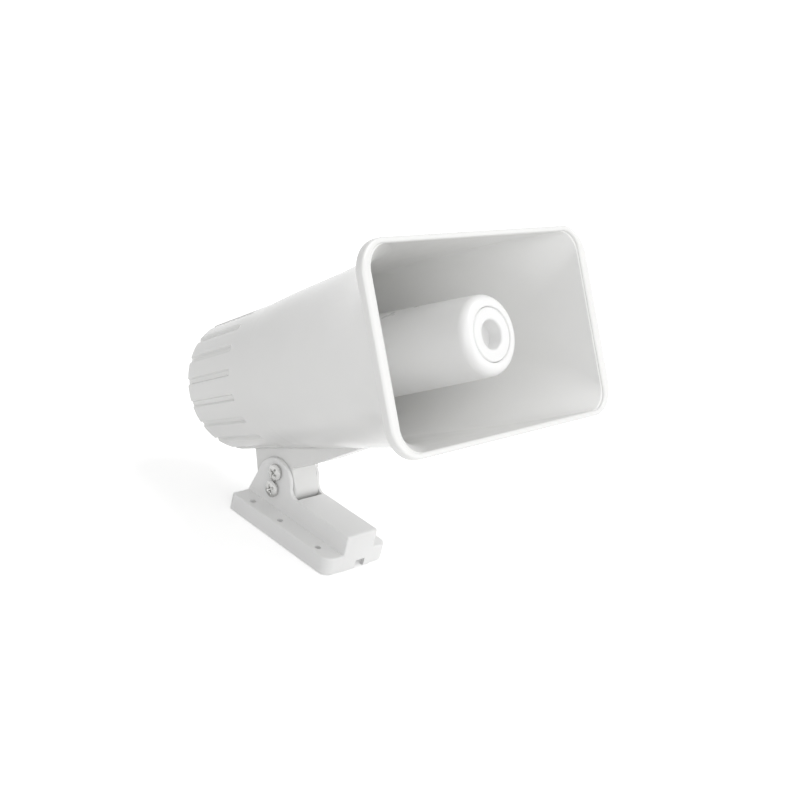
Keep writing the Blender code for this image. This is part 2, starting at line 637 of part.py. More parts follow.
def build_driver(axis):
    """The clamp ring, magnet stack, terminals and screws behind the throat."""
    drilled_ring("throat_gasket", axis, BULKHEAD_BORE, TUBE_FLANGE_RADIUS, GASKET_DEPTH,
                 PAPER_THICKNESS, (0.10, 0.10, 0.10), 0.8)
    drilled_ring("diaphragm_clamp_ring", axis, CLAMP_INNER_RADIUS, PLATE_RADIUS, CLAMP_DEPTH,
                 CLAMP_THICKNESS, (0.12, 0.12, 0.12), 0.5)
    drilled_ring("top_plate", axis, POLE_RADIUS + AIR_GAP, PLATE_RADIUS, PLATE_DEPTH,
                 PLATE_THICKNESS, STEEL, 0.35, 0.9)
    magnet = ring_form(MAGNET_BORE, MAGNET_RADIUS, 0.0, -MAGNET_THICKNESS)
    add_piece("magnet", magnet, axis, (0.09, 0.09, 0.10), 0.6, place=(0.0, 0.0, -MAGNET_DEPTH))
    pole = BACK_DEPTH - PLATE_DEPTH
    profile = [(0.0, pole), (POLE_RADIUS, pole), (POLE_RADIUS, 0.0), (BACK_PLATE_RADIUS, 0.0)]
    profile += [(BACK_PLATE_RADIUS, -PLATE_THICKNESS), (0.0, -PLATE_THICKNESS)]
    place = (0.0, 0.0, -BACK_DEPTH)
    add_piece("back_plate_with_pole", turned(profile), axis, STEEL, 0.35, 0.9, place=place)
    head = PLATE_DEPTH + PLATE_THICKNESS + SEAT
    shank = head - BULKHEAD_REAR + DRIVER_THREAD
    profile = [(0.0, shank), (DRIVER_SCREW_RADIUS, shank), (DRIVER_SCREW_RADIUS, 0.0)]
    profile += pan_head(DRIVER_HEAD_RADIUS, DRIVER_HEAD_HEIGHT)
    centres = around(DRIVER_SCREW_COUNT, DRIVER_SCREW_CIRCLE, 0.25 * math.pi)
    add_copies("driver_screw", axis, centres, -head, lambda: turned(profile, PIN_SEGMENTS))


def build_terminals(axis):
    """The board on the back plate and its two push-on tabs."""
    board = box(bmesh.new(), (-0.5 * TERMINAL_WIDTH, -0.5 * TERMINAL_HEIGHT, -TERMINAL_THICKNESS),
                (0.5 * TERMINAL_WIDTH, 0.5 * TERMINAL_HEIGHT, 0.0))
    add_piece("terminal_board", board, axis, (0.45, 0.30, 0.12), 0.6, place=(0.0, 0.0, -BOARD_DEPTH))
    low = (-0.5 * TAB_WIDTH, -0.5 * TAB_THICKNESS, -TAB_LENGTH)
    high = (0.5 * TAB_WIDTH, 0.5 * TAB_THICKNESS, 0.0)
    centres = [(side * 0.25 * TERMINAL_WIDTH, 0.0) for side in (-1.0, 1.0)]
    depth = BOARD_DEPTH + TERMINAL_THICKNESS + SEAT
    add_copies("terminal_tab", axis, centres, -depth, lambda: box(bmesh.new(), low, high))


def pan_head(radius, height):
    """Profile of a pan head that stands below z = 0, from its rim to its crown."""
    return [(radius, 0.0), (radius, -0.45 * height), (0.85 * radius, -0.85 * height),
            (0.6 * radius, -height), (0.0, -height)]


def build_cover(axis):
    """The round rear cover with its gasket, screws and cable grommet."""
    gasket = ring_form(CHAMBER_REAR_RADIUS, COVER_RADIUS, 0.0, -PAPER_THICKNESS)
    add_piece("cover_gasket", gasket, axis, (0.10, 0.10, 0.10), 0.8, place=(0.0, 0.0, -LEDGE_DEPTH - SEAT))
    rear = -HOUSING_END
    profile = [(COVER_RADIUS, COVER_THICKNESS), (COVER_RADIUS, COVER_DISH), (COVER_RADIUS - COVER_DISH, 0.0)]
    cover = add_piece("rear_cover", turned(profile), axis, WHITE, 0.35, place=(0.0, 0.0, rear))
    centres = around(POST_COUNT, POST_CIRCLE)
    holes = pins(centres, COVER_SCREW_RADIUS + SEAT, -OVERCUT, COVER_THICKNESS + OVERCUT, PIN_SEGMENTS)
    carve(cover, holes, place=(0.0, 0.0, rear))
    seat = (0.0, -GROMMET_DROP)
    hole = pins([seat], GROMMET_RADIUS + SEAT, -OVERCUT, COVER_THICKNESS + OVERCUT, ROUND_SEGMENTS)
    carve(cover, hole, place=(0.0, 0.0, rear))
    profile = [(0.0, COVER_SCREW_LENGTH), (COVER_SCREW_RADIUS, COVER_SCREW_LENGTH)]
    profile += [(COVER_SCREW_RADIUS, 0.0)] + pan_head(COVER_HEAD_RADIUS, COVER_HEAD_HEIGHT)
    add_copies("cover_screw", axis, centres, rear - SEAT, lambda: turned(profile, PIN_SEGMENTS))
    inside = COVER_THICKNESS + SEAT
    lip = GROMMET_LIP_THICKNESS
    profile = [(GROMMET_BORE, -SEAT - lip), (0.7 * GROMMET_LIP, -SEAT - lip), (GROMMET_LIP, -SEAT - 0.4 * lip)]
    profile += [(GROMMET_LIP, -SEAT), (GROMMET_RADIUS, -SEAT), (GROMMET_RADIUS, inside)]
    profile += [(GROMMET_LIP, inside), (GROMMET_LIP, inside + lip), (GROMMET_BORE, inside + lip)]
    grommet = turned(profile, ROUND_SEGMENTS, closed=True)
    add_piece("cable_grommet", grommet, axis, (0.06, 0.06, 0.06), 0.7, place=(0.0, seat[1], rear))


# ================================================================ the bracket
def bracket_side():
    """Side view of the block and its ears as (y, z), y = 0 at the pivot."""
    centre = (EAR_CENTRE_BACK, PIVOT_HEIGHT - EAR_CENTRE_DROP)
    fillet_z = BLOCK_HEIGHT + EAR_FILLET
    span = EAR_RADIUS + EAR_FILLET
    fillet_y = centre[0] - math.sqrt(span ** 2 - (fillet_z - centre[1]) ** 2)
    lean = math.degrees(math.atan2(centre[1] - fillet_z, centre[0] - fillet_y))
    away = (BRACKET_REAR - centre[0], FLANGE_HEIGHT - centre[1])
    turn = math.degrees(math.atan2(away[1], away[0]))
    tangent = turn + math.degrees(math.acos(EAR_RADIUS / math.hypot(*away)))
    points = [(-BRACKET_FRONT, 0.0), (-BRACKET_FRONT, BLOCK_HEIGHT)]
    points += arc((fillet_y, fillet_z), EAR_FILLET, -90.0, lean, 5)
    points += arc(centre, EAR_RADIUS, 180.0 + lean, tangent, 14)[1:]
    points += [(BRACKET_REAR, FLANGE_HEIGHT), (BRACKET_REAR, 0.0)]
    return points


def flange_outline(inset=0.0):
    """Plan of the flange as (x, y), with its two sizes of corner."""
    side = 0.5 * FLANGE_WIDTH - inset
    front = -BRACKET_FRONT + inset
    rear = BRACKET_REAR - inset
    big = max(FLANGE_CORNER_FRONT - inset, BRACKET_EDGE)
    small = max(FLANGE_CORNER_REAR - inset, SEAT)
    points = arc((side - small, rear - small), small, 0.0, 90.0, 3)
    points += arc((small - side, rear - small), small, 90.0, 180.0, 3)
    points += arc((big - side, front + big), big, 180.0, 270.0, 6)
    points += arc((side - big, front + big), big, 270.0, 360.0, 6)
    return points


def mounting_holes():
    """Plan centres of the six mounting screws."""
    rows = [SCREW_HOLE_REAR, SCREW_HOLE_REAR - SCREW_HOLE_STEP_REAR]
    rows.append(rows[-1] - SCREW_HOLE_STEP_FRONT)
    return [(side * SCREW_HOLE_SIDE, y) for y in rows for side in (-1.0, 1.0)]


def build_bracket(base):
    """The moulded base with its cored underside, its two ears, holes and lead notch."""
    block = 0.5 * BLOCK_WIDTH
    bracket = add_piece("mounting_bracket", prism(flange_outline(), 0.0, FLANGE_HEIGHT), base, WHITE, 0.34)
    round_edges(bracket, BRACKET_EDGE)
    side = carve(bracket, prism(bracket_side(), -block, block, along="x"), "UNION")
    round_edges(side, 0.6 * BRACKET_EDGE, segments=1)
    under = FLANGE_HEIGHT - BRACKET_WALL
    carve(bracket, prism(flange_outline(BRACKET_WALL), -OVERCUT, under))
    inner = block - BRACKET_WALL
    front = -BRACKET_FRONT + BRACKET_WALL
    back = -OPENING_FRONT - BRACKET_WALL
    core = box(bmesh.new(), (-inner, front, under - OVERCUT), (inner, back, BLOCK_HEIGHT - BRACKET_WALL))
    carve(bracket, core)
    gap = 0.5 * FOOT_WIDTH + SIDE_PLAY
    top = PIVOT_HEIGHT + EAR_RADIUS
    between = box(bmesh.new(), (-gap, -OPENING_FRONT, FLANGE_HEIGHT), (gap, BRACKET_REAR + OVERCUT, top))
    carve(bracket, between)
    boss = 2.0 * SCREW_HOLE_RADIUS
    carve(bracket, pins(mounting_holes(), boss, 0.0, under + 0.5 * BRACKET_WALL, PIN_SEGMENTS), "UNION")
    carve(bracket, pins(mounting_holes(), SCREW_HOLE_RADIUS, -OVERCUT, FLANGE_HEIGHT + OVERCUT, PIN_SEGMENTS))
    half = 0.5 * NOTCH_WIDTH
    notch = box(bmesh.new(), (NOTCH_OFFSET - half, -BRACKET_FRONT - OVERCUT, -OVERCUT),
                (NOTCH_OFFSET + half, front + OVERCUT, NOTCH_HEIGHT))
    carve(bracket, notch)
    for height in screw_heights():
        ring = arc((0.0, height), SCREW_RADIUS + SEAT, 0.0, 360.0, SMALL_SEGMENTS)[:-1]
        carve(bracket, prism(ring, -block - OVERCUT, block + OVERCUT, along="x"))
    return bracket


def screw_heights():
    """Pivot screw, then lock screw."""
    return PIVOT_HEIGHT, PIVOT_HEIGHT - SCREW_SPACING


def cross_outline():
    """A plus-shaped driver recess."""
    long = 0.5 * CROSS_LENGTH
    thin = 0.5 * CROSS_WIDTH
    quarter = [(long, -thin), (long, thin), (thin, thin)]
    turns = [(1, 0), (0, 1), (-1, 0), (0, -1)]
    return [(x * c - y * s, x * s + y * c) for c, s in turns for x, y in quarter]


def build_tilt_screws(base):
    """Both screws across the ears, with washers and nuts on the far side."""
    head_x = -0.5 * BLOCK_WIDTH - SEAT
    washer_x = 0.5 * BLOCK_WIDTH + SEAT
    nut_x = washer_x + WASHER_THICKNESS + SEAT
    length = nut_x + NUT_THICKNESS + THREAD_PROUD - head_x
    sideways = (0.0, 0.5 * math.pi, 0.0)
    for name, height in zip(("pivot_screw", "lock_screw"), screw_heights()):
        profile = [(0.0, length), (SCREW_RADIUS, length), (SCREW_RADIUS, 0.0)]
        profile += pan_head(SCREW_HEAD_RADIUS, SCREW_HEAD_HEIGHT)
        place = (head_x, 0.0, height)
        screw = add_piece(name, turned(profile, ROUND_SEGMENTS), base, STEEL, 0.25, 1.0, place=place, turn=sideways)
        crown = -SCREW_HEAD_HEIGHT
        recess = prism(cross_outline(), crown - OVERCUT, crown + CROSS_DEPTH)
        carve(screw, recess, place=place, turn=sideways)
    bore = SCREW_RADIUS + SEAT
    corner = 0.5 * NUT_ACROSS_FLATS / math.cos(math.radians(30.0))
    for name, height in zip(("pivot", "lock"), screw_heights()):
        washer = ring_form(bore, WASHER_RADIUS, 0.0, WASHER_THICKNESS, ROUND_SEGMENTS)
        seat = (washer_x, 0.0, height)
        add_piece(f"{name}_washer", washer, base, STEEL, 0.3, 1.0, place=seat, turn=sideways)
        blank = turned([(corner, 0.0), (corner, NUT_THICKNESS)], 6)
        seat = (nut_x, 0.0, height)
        nut = add_piece(f"{name}_nut", blank, base, STEEL, 0.3, 1.0, place=seat, turn=sideways)
        hole = pins([(0.0, 0.0)], bore, -OVERCUT, NUT_THICKNESS + OVERCUT, ROUND_SEGMENTS)
        carve(nut, hole, place=seat, turn=sideways)


def main():
    clear_scene()
    base = add_empty("bracket_frame", None, (0.0, PIVOT_Y, 0.0))
    tilt = add_empty("tilt_axis", base, (0.0, 0.0, PIVOT_HEIGHT), (-math.radians(TILT_AT_REST), 0.0, 0.0))
    axis = add_empty("horn_axis", tilt, (0.0, -PIVOT_DEPTH, PIVOT_DROP), (0.5 * math.pi, 0.0, 0.0))
    build_bracket(base)
    build_tilt_screws(base)
    build_bell(axis)
    build_bullet(axis)
    build_cap(axis)
    build_tube(axis)
    build_phase_plug(axis)
    build_diaphragm(axis)
    build_driver(axis)
    build_terminals(axis)
    build_cover(axis)
    bpy.context.view_layer.update()


main()
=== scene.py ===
"""Rectangular reflex horn loudspeaker on its tilting bracket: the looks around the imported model.

The horn's own frame has x along the mouth's width, y up the mouth and z out of the mouth.  A point at
depth s behind the mouth has z = -s.  The frame turns about the pivot screw, and the row frame has -Y out
of the front and +Z up.
"""
import json
import math

import bmesh
import bpy
import numpy as np
from bpy.props import FloatProperty, FloatVectorProperty, IntProperty, PointerProperty
from mathutils import Matrix, Vector


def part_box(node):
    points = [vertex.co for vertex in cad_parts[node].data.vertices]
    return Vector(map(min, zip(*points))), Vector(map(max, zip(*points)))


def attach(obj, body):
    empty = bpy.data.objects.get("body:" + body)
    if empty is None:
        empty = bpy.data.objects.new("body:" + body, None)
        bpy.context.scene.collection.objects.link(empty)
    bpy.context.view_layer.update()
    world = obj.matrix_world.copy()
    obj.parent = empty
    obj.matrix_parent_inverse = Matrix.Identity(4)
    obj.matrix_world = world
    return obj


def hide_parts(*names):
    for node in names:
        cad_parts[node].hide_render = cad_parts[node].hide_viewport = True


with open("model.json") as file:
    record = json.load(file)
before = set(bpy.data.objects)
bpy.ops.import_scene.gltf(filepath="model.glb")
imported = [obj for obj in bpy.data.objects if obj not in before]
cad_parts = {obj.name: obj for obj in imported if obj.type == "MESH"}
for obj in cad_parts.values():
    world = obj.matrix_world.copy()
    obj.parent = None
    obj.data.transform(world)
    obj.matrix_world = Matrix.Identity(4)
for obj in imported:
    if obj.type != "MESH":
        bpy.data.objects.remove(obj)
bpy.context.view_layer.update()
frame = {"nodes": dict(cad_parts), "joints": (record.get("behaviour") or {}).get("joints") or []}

bl_info = {
    "name": "Reflex horn looks",
    "version": (1, 0, 0),
    "blender": (4, 5, 0),
    "location": "View3D > Sidebar > Horn",
    "description": "Dresses the packed reflex horn loudspeaker and its tilting bracket",
    "category": "Object",
}

HEAD = "horn_head"
BRACKET = "bracket"
PIVOT = np.array(frame["joints"][0]["pos_m"])

# Small forms of the looks, in metres unless a comment says otherwise.
WELD = 1e-7                   # points closer than this are one
LIP_CROWN = 0.0016            # how far the lip falls away from its crown
LIP_SQUARENESS = 0.8          # power of the lip's curve: 1 is an ellipse, below 1 is squarer
RIM_BACK_DEPTH = 0.0010       # rounding of the rim's back edge, along the depth
RIM_BACK_INSET = 0.0009       # and across it
RIM_BACK_TURNS = (30.0, 60.0, 90.0)     # degrees
GROOVE_STOPS = (0.30, 0.54, 0.65, 0.74, 0.83, 0.92, 1.0)    # shares of half a groove, off its middle
SLOT_SPARE = 1.0              # degrees left in the slot past each limit
OVERCUT = 0.002               # how far a cutting tool runs past the face it cuts
BLOCK_LIFT = 0.0002           # keep the block's lower and front faces out of the flange's planes, so that
BLOCK_PROUD = 0.00008         # the two can be joined
HEX_FALL = 0.577              # slope of a nut's corners, the tangent of 30 degrees
DIRECT_RAYS = ("Is Camera Ray", "Is Glossy Ray", "Is Transmission Ray")

# Pan heads: the crown's fall towards the edge and its power, then the cross as shares of the head's radius,
# its depth as a share of the head's height, and how its floor rises from the middle out.
CROWN_FALL, CROWN_POWER = 0.62, 3.2
CROSS_ARM, CROSS_HALF_WIDTH, CROSS_SOFTNESS, CROSS_HUB = 0.62, 0.125, 0.045, 0.26
CROSS_DEPTH, CROSS_RISE = 0.62, 1.25

# The stage: lamps as (name, direction that the light comes from, strength, width in degrees).
FLOOR_HALF = 30.0
FLOOR_DROP = 0.0002
FLOOR_GLOW = 0.42
FILL_LEVEL = 0.50
LAMPS = (("key", (0.34, -0.36, 0.87), 1.18, 34.0),
         ("front", (-0.50, -0.72, 0.46), 0.62, 36.0),
         ("side", (0.50, -0.82, 0.26), 0.42, 40.0))
CAMERA_RIGHT = (0.6745811, -0.7042759, 0.2212143)
CAMERA_DOWN = (-0.1337819, -0.4113389, -0.9016112)
CAMERA_AHEAD = (0.7259771, 0.5786154, -0.3717008)
CAMERA_PLACE = (-0.5905797, -0.5095747, 0.4276116)
CAMERA_LENS = 58.394          # millimetres, on a sensor 36 mm wide


# ================================================================ sizes and colours
def length(name, description, default):
    """A distance property in metres."""
    return FloatProperty(name=name, description=description, default=default, unit="LENGTH", precision=5)


def ratio(name, description, default):
    """A plain number property."""
    return FloatProperty(name=name, description=description, default=default)


def colour(name, description, default):
    """A linear colour property."""
    return FloatVectorProperty(name=name, description=description, default=default, size=3,
                               subtype="COLOR", min=0.0, max=1.0)


class HornSizes(bpy.types.PropertyGroup):
    """Sizes of the moulded horn: the solids' own, and the rounder rim, seam and grooves of the looks."""
    tilt: ratio("Tilt", "Degrees that the horn's axis points up at rest", 31.42)
    pivot_depth: length("Pivot depth", "Pivot screw behind the mouth", 0.1997)
    pivot_drop: length("Pivot drop", "Pivot screw below the horn's axis", 0.0634)
    mouth_width: length("Mouth width", "Outside of the rim, along the mouth", 0.2056)
    mouth_height: length("Mouth height", "Outside of the rim, up the mouth", 0.1214)
    lip_side: length("Lip at the ends", "Width of the lip at the mouth's two ends", 0.0076)
    lip_top: length("Lip along the top", "Width of the lip along its top and bottom", 0.0036)
    lip_corner: length("Opening corner", "Corner radius of the opening", 0.0130)
    rim_corner: length("Rim corner", "Outer corner radius of the rim", 0.0200)
    rim_depth: length("Rim depth", "Depth of the rim's side", 0.0058)
    rim_relief: length("Rim relief", "How far the rounded rim keeps inside the solid's flat sides", 0.00028)
    rim_set_back: length("Rim set back", "How far the lip's crown keeps behind the mouth plane", 0.0001)
    wall: length("Wall", "Thickness of the flare", 0.0028)
    flare_length: length("Flare length", "Mouth to the round housing", 0.168)
    bend_wide: ratio("Sideways bend", "Above 1 the sides flare late", 1.7)
    bend_high: ratio("Upright bend", "Below 1 the top and bottom flare early", 0.57)
    seam_blend: length("Seam blend", "Length over which the flare runs smoothly into the housing", 0.016)
    bend_corner: ratio("Corner bend", "How fast the corners open out into the round", 6.0)
    housing_end: length("Housing end", "Rear face behind the mouth", 0.2410)
    housing_radius: length("Housing radius", "At the rear face", 0.0451)
    housing_taper: ratio("Housing taper", "Radius gained per length towards the front", 0.070)
    housing_edge: length("Housing edge", "Rounding of the rear edge", 0.0050)
    groove_count: IntProperty(name="Grooves", description="Grooves round the housing", default=18)
    groove_start: length("Groove start", "Front end of the grooves behind the mouth", 0.1890)
    groove_depth: length("Groove depth", "How deep the grooves are", 0.0020)
    groove_width: length("Groove width", "How wide the grooves are", 0.0049)
    groove_softness: ratio("Groove softness", "Share of each half that its wall takes up", 0.48)
    groove_run: length("Groove run", "Length of the ramp at the grooves' front end", 0.0024)


class InsideSizes(bpy.types.PropertyGroup):
    """Sizes of the bullet, its nose and the space behind the flare."""
    bullet_radius: length("Bullet radius", "At the front", 0.0245)
    bullet_spread: length("Bullet spread", "Radius gained by the rear end", 0.0035)
    bullet_front: length("Bullet front", "Nose behind the mouth", 0.0050)
    bullet_end: length("Bullet end", "Open rear end behind the mouth", 0.1480)
    bullet_wall: length("Bullet wall", "Thickness of the bullet", 0.0025)
    nose_round: length("Nose rounding", "Radius of the nose's shoulder", 0.0060)
    nose_wall: length("Nose wall", "Thickness of the bullet's front", 0.0080)
    cap_radius: length("Cap radius", "Disc let into the nose", 0.0163)
    cap_thickness: length("Cap thickness", "Flange of the disc", 0.0030)
    cup_radius: length("Cup radius", "Outside of the cup behind the disc", 0.0108)
    hole_radius: length("Hole radius", "Bore of the cup", 0.0088)
    cup_depth: length("Cup depth", "Depth of the cup", 0.0120)
    seat: length("Seat", "Left between two pieces that touch", 0.0003)
    bowl_radius: length("Bowl radius", "Turns the sound round at the rear of the flare", 0.0080)
    bore: length("Bulkhead bore", "Radius", 0.0240)
    bulkhead: length("Bulkhead", "Thickness", 0.0040)
    chamber_wall: length("Chamber wall", "Grooves included", 0.0056)
    cover_radius: length("Cover radius", "Rear cover", 0.0410)
    ledge_depth: length("Ledge depth", "Cover's ledge before the rear face", 0.0051)
    ledge: length("Ledge", "Width of the cover's ledge", 0.0018)


class FootSizes(bpy.types.PropertyGroup):
    """Sizes of the foot that the horn tilts on."""
    width: length("Foot width", "Across the ears", 0.0216)
    front: length("Foot front", "Front face ahead of the pivot", 0.0128)
    rounding: length("Foot rounding", "Round end about the pivot", 0.0240)
    keel_reach: length("Keel reach", "Keel's tip ahead of the pivot", 0.0780)
    keel_start: length("Keel start", "Underside above the pivot at the foot", 0.0006)
    keel_mid: length("Keel middle", "Second point ahead of the pivot", 0.0407)
    keel_mid_drop: length("Keel middle height", "Second point above the pivot", 0.0024)
    keel_step: length("Keel tip", "Tip below the shell", 0.0010)
    bury: length("Bury", "How far the foot's top runs into the wall", 0.0020)
    edge: length("Edge", "Rounding of the foot's edges", 0.0011)
    toe: length("Toe", "How far the front face's lower end turns under", 0.0090)
    screw_radius: length("Screw radius", "Tilt screws", 0.0030)
    head_radius: length("Head radius", "Tilt screws' pan heads", 0.0058)
    head_height: length("Head height", "Tilt screws' pan heads", 0.0030)
    spacing: length("Screw spacing", "Pivot screw to lock screw", 0.0124)
    side_play: length("Side play", "Between the foot and each ear", 0.0004)
    ear: length("Ear thickness", "Bracket's ears", 0.00265)
    turn_up: ratio("Turn up", "Degrees that the horn tilts up from rest", 30.0)
    turn_down: ratio("Turn down", "Degrees that the horn tilts down from rest", 35.0)
    washer_radius: length("Washer radius", "Tilt screws' washers", 0.0060)
    washer: length("Washer thickness", "Tilt screws' washers", 0.0010)
    nut_flats: length("Nut across flats", "Tilt screws' nuts", 0.0100)
    nut: length("Nut thickness", "Tilt screws' nuts", 0.0050)


class CoverSizes(bpy.types.PropertyGroup):
    """Sizes of the rear cover, its screws and the cable grommet."""
    thickness: length("Thickness", "Of the cover", 0.0035)
    edge: length("Edge", "Rounding of the cover's rear edge", 0.0008)
    rim_width: length("Rim width", "Flat rim round the cover's shallow dish", 0.0085)
    rim_height: length("Rim height", "Depth of the cover's shallow dish", 0.0007)
    circle: length("Screw circle", "Radius that the cover's screws stand on", 0.0365)
    screw_radius: length("Screw radius", "Cover screws", 0.0014)
    screw_length: length("Screw length", "Cover screws", 0.0110)
    head_radius: length("Head radius", "Cover screws", 0.0027)
    head_height: length("Head height", "Cover screws", 0.0018)
    grommet_radius: length("Grommet radius", "Where it sits in the cover", 0.0050)
    grommet_lip: length("Grommet lip", "Radius of its lips", 0.0070)
    grommet_lip_thickness: length("Lip thickness", "Of the grommet", 0.0018)
    grommet_bore: length("Grommet bore", "Radius", 0.0030)
    grommet_drop: length("Grommet drop", "Below the cover's middle", 0.0180)


class BracketSizes(bpy.types.PropertyGroup):
    """Sizes of the tilting bracket: the solid's own, with softer edges."""
    front: length("Front", "Front end ahead of the pivot", 0.0748)
    rear: length("Rear", "Rear end behind the pivot", 0.0236)
    flange_width: length("Flange width", "Across both flanges", 0.0568)
    flange_height: length("Flange height", "Top of the flanges", 0.0127)
    corner_front: length("Front corner", "Corner radius in plan", 0.0070)
    corner_rear: length("Rear corner", "Corner radius in plan", 0.0020)
    block_height: length("Block height", "Top of the block", 0.0268)
    ear_radius: length("Ear radius", "Round top of the ears", 0.0165)
    ear_drop: length("Ear centre", "Centre of the round top below the pivot", 0.0074)
    ear_back: length("Ear offset", "Centre of the round top behind the pivot", 0.0006)
    ear_fillet: length("Ear fillet", "From the block up to the ear", 0.0075)
    wall: length("Wall", "Thickness over the cored underside", 0.0030)
    edge: length("Edge", "Rounding of the outer edges", 0.0012)
    opening_front: length("Opening front", "Front of the gap between the ears, ahead of the pivot", 0.0226)
    hole_radius: length("Hole radius", "Mounting screws", 0.0021)
    hole_side: length("Hole side", "From the middle", 0.0226)
    hole_rear: length("Rear hole", "Rear pair behind the pivot", 0.0078)
    step_rear: length("Rear step", "Rear pair to the middle pair", 0.0283)
    step_front: length("Front step", "Middle pair to the front pair", 0.0381)
    notch_width: length("Notch width", "Way out of the speaker lead", 0.0084)
    notch_height: length("Notch height", "Way out of the speaker lead", 0.0060)
    notch_offset: length("Notch offset", "From the middle", 0.0033)


class Finishes(bpy.types.PropertyGroup):
    """Colours of the horn's plastics and metals."""
    shell: colour("Shell", "Moulded horn", (0.825, 0.825, 0.815))
    bullet: colour("Bullet", "Bullet and nose", (0.87, 0.87, 0.865))
    # Painted light: the bracket is the shell's own plastic, given a lighter colour than the shell to make up
    # for the lower light on its sides.
    bracket: colour("Bracket", "Tilting bracket", (0.88, 0.88, 0.875))
    steel: colour("Steel", "Plated screws", (0.62, 0.62, 0.61))
    dark: colour("Dark", "Rubber and gaskets", (0.030, 0.030, 0.032))
    floor: colour("Floor", "Studio floor", (0.90, 0.90, 0.90))


# ================================================================ surface tools
def settings():
    """The scene's own property groups."""
    return bpy.context.scene.horn_looks


def to_row(points):
    """Points of the horn's frame carried to the row frame: turned by the tilt about the pivot."""
    sizes = settings().horn
    angle = math.radians(sizes.tilt)
    out = np.array([0.0, -math.cos(angle), math.sin(angle)])
    up = np.array([0.0, math.sin(angle), math.cos(angle)])
    mouth = PIVOT + out * sizes.pivot_depth + up * sizes.pivot_drop
    points = np.asarray(points, float)
    side = np.array([1.0, 0.0, 0.0])
    return mouth + points[..., 0:1] * side + points[..., 1:2] * up + points[..., 2:3] * out


def move_to_row(made):
    """Carry a finished mesh from the horn's frame to the row frame."""
    count = len(made.data.vertices)
    flat = np.empty(3 * count, np.float32)
    made.data.vertices.foreach_get("co", flat)
    made.data.vertices.foreach_set("co", to_row(flat.reshape(-1, 3)).astype(np.float32).ravel())
    made.data.update()


def grid_faces(rows, columns, wrap_rows):
    """Quads of a grid whose columns close on themselves, and whose rows do if asked."""
    first = np.arange(rows if wrap_rows else rows - 1)
    across = np.arange(columns)
    low = first[:, None] * columns
    high = ((first[:, None] + 1) % rows) * columns
    after = (across + 1) % columns
    corners = [low + across, low + after, high + after, high + across]
    return np.stack([np.broadcast_to(c, (len(first), columns)) for c in corners], -1).reshape(-1, 4)


def new_object(name, points, faces, weld=0.0):
    """An object from points and faces, its close points merged if asked and its faces turned outwards."""
    mesh = bpy.data.meshes.new(name)
    mesh.from_pydata(points, [], faces)
    bm = bmesh.new()
    bm.from_mesh(mesh)
    if weld:
        bmesh.ops.remove_doubles(bm, verts=bm.verts, dist=weld)
        bmesh.ops.dissolve_degenerate(bm, edges=bm.edges, dist=weld)
    bmesh.ops.recalc_face_normals(bm, faces=bm.faces)
    bm.to_mesh(mesh)
    bm.free()
    made = bpy.data.objects.new(name, mesh)
    bpy.context.scene.collection.objects.link(made)
    return made


def smooth(mesh, sharp):
    """Shade a mesh smooth, except over edges that turn by more than an angle in degrees."""
    mesh.shade_smooth()
    mesh.set_sharp_from_angle(angle=math.radians(sharp))


def add_surface(name, points, wrap_rows=False, sharp=40.0):
    """A mesh from a grid of points (rows, columns, 3).  Open rows are closed by a flat face at each end."""
    rows, columns = points.shape[:2]
    faces = grid_faces(rows, columns, wrap_rows).tolist()
    if not wrap_rows:
        faces.append(list(range(columns)))
        faces.append(list(range((rows - 1) * columns, rows * columns)))
    made = new_object(name, points.reshape(-1, 3), faces, WELD)
    smooth(made.data, sharp)
    return made


def carry(made, body, slot, material, *replaced):
    """Give the piece its finish and its body, and hide the nodes that it stands for. The slot is not used."""
    made.data.materials.clear()
    made.data.materials.append(material)
    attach(made, body)
    if replaced:
        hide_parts(*replaced)


def shaped(made, *steps, sharp=35.0):
    """Cut each tool out of a piece, or join it on, even out its normals and keep the result in its mesh."""
    for operation, tool in steps:
        modifier = made.modifiers.new(operation.title(), "BOOLEAN")
        modifier.operation = operation
        modifier.solver = "EXACT"
        modifier.object = tool
    graph = bpy.context.evaluated_depsgraph_get()
    graph.update()
    mesh = bpy.data.meshes.new_from_object(made.evaluated_get(graph))
    made.modifiers.clear()
    made.data = mesh
    smooth(mesh, sharp)
    for _, tool in steps:
        bpy.data.objects.remove(tool, do_unlink=True)
    even = made.modifiers.new("Even", "WEIGHTED_NORMAL")
    even.keep_sharp = True
    return made


def bend(start, end, radius_x, radius_y, steps, begin=0.0, finish=90.0):
    """Points of an elliptic arc about (start, end), from one angle to another in degrees."""
    turns = np.radians(np.linspace(begin, finish, steps + 1))
    return np.stack([start + radius_x * np.cos(turns), end + radius_y * np.sin(turns)], 1)


def lathe(profile, columns=96):
    """A profile of (radius, z) points turned about z: x = r cos a, y = r sin a."""
    profile = np.asarray(profile, float)
    turns = np.arange(columns) * 2.0 * np.pi / columns
    radius = profile[:, 0][:, None]
    ones = np.ones(columns)
    return np.stack([radius * np.cos(turns), radius * np.sin(turns), profile[:, 1][:, None] * ones], -1)


def turned_about_x(points, turn):
    """Points turned about x by an angle in radians: y' = y cos - z sin, z' = y sin + z cos."""
    cos, sin = math.cos(turn), math.sin(turn)
    y, z = points[..., 1], points[..., 2]
    return np.stack([points[..., 0], y * cos - z * sin, y * sin + z * cos], -1)


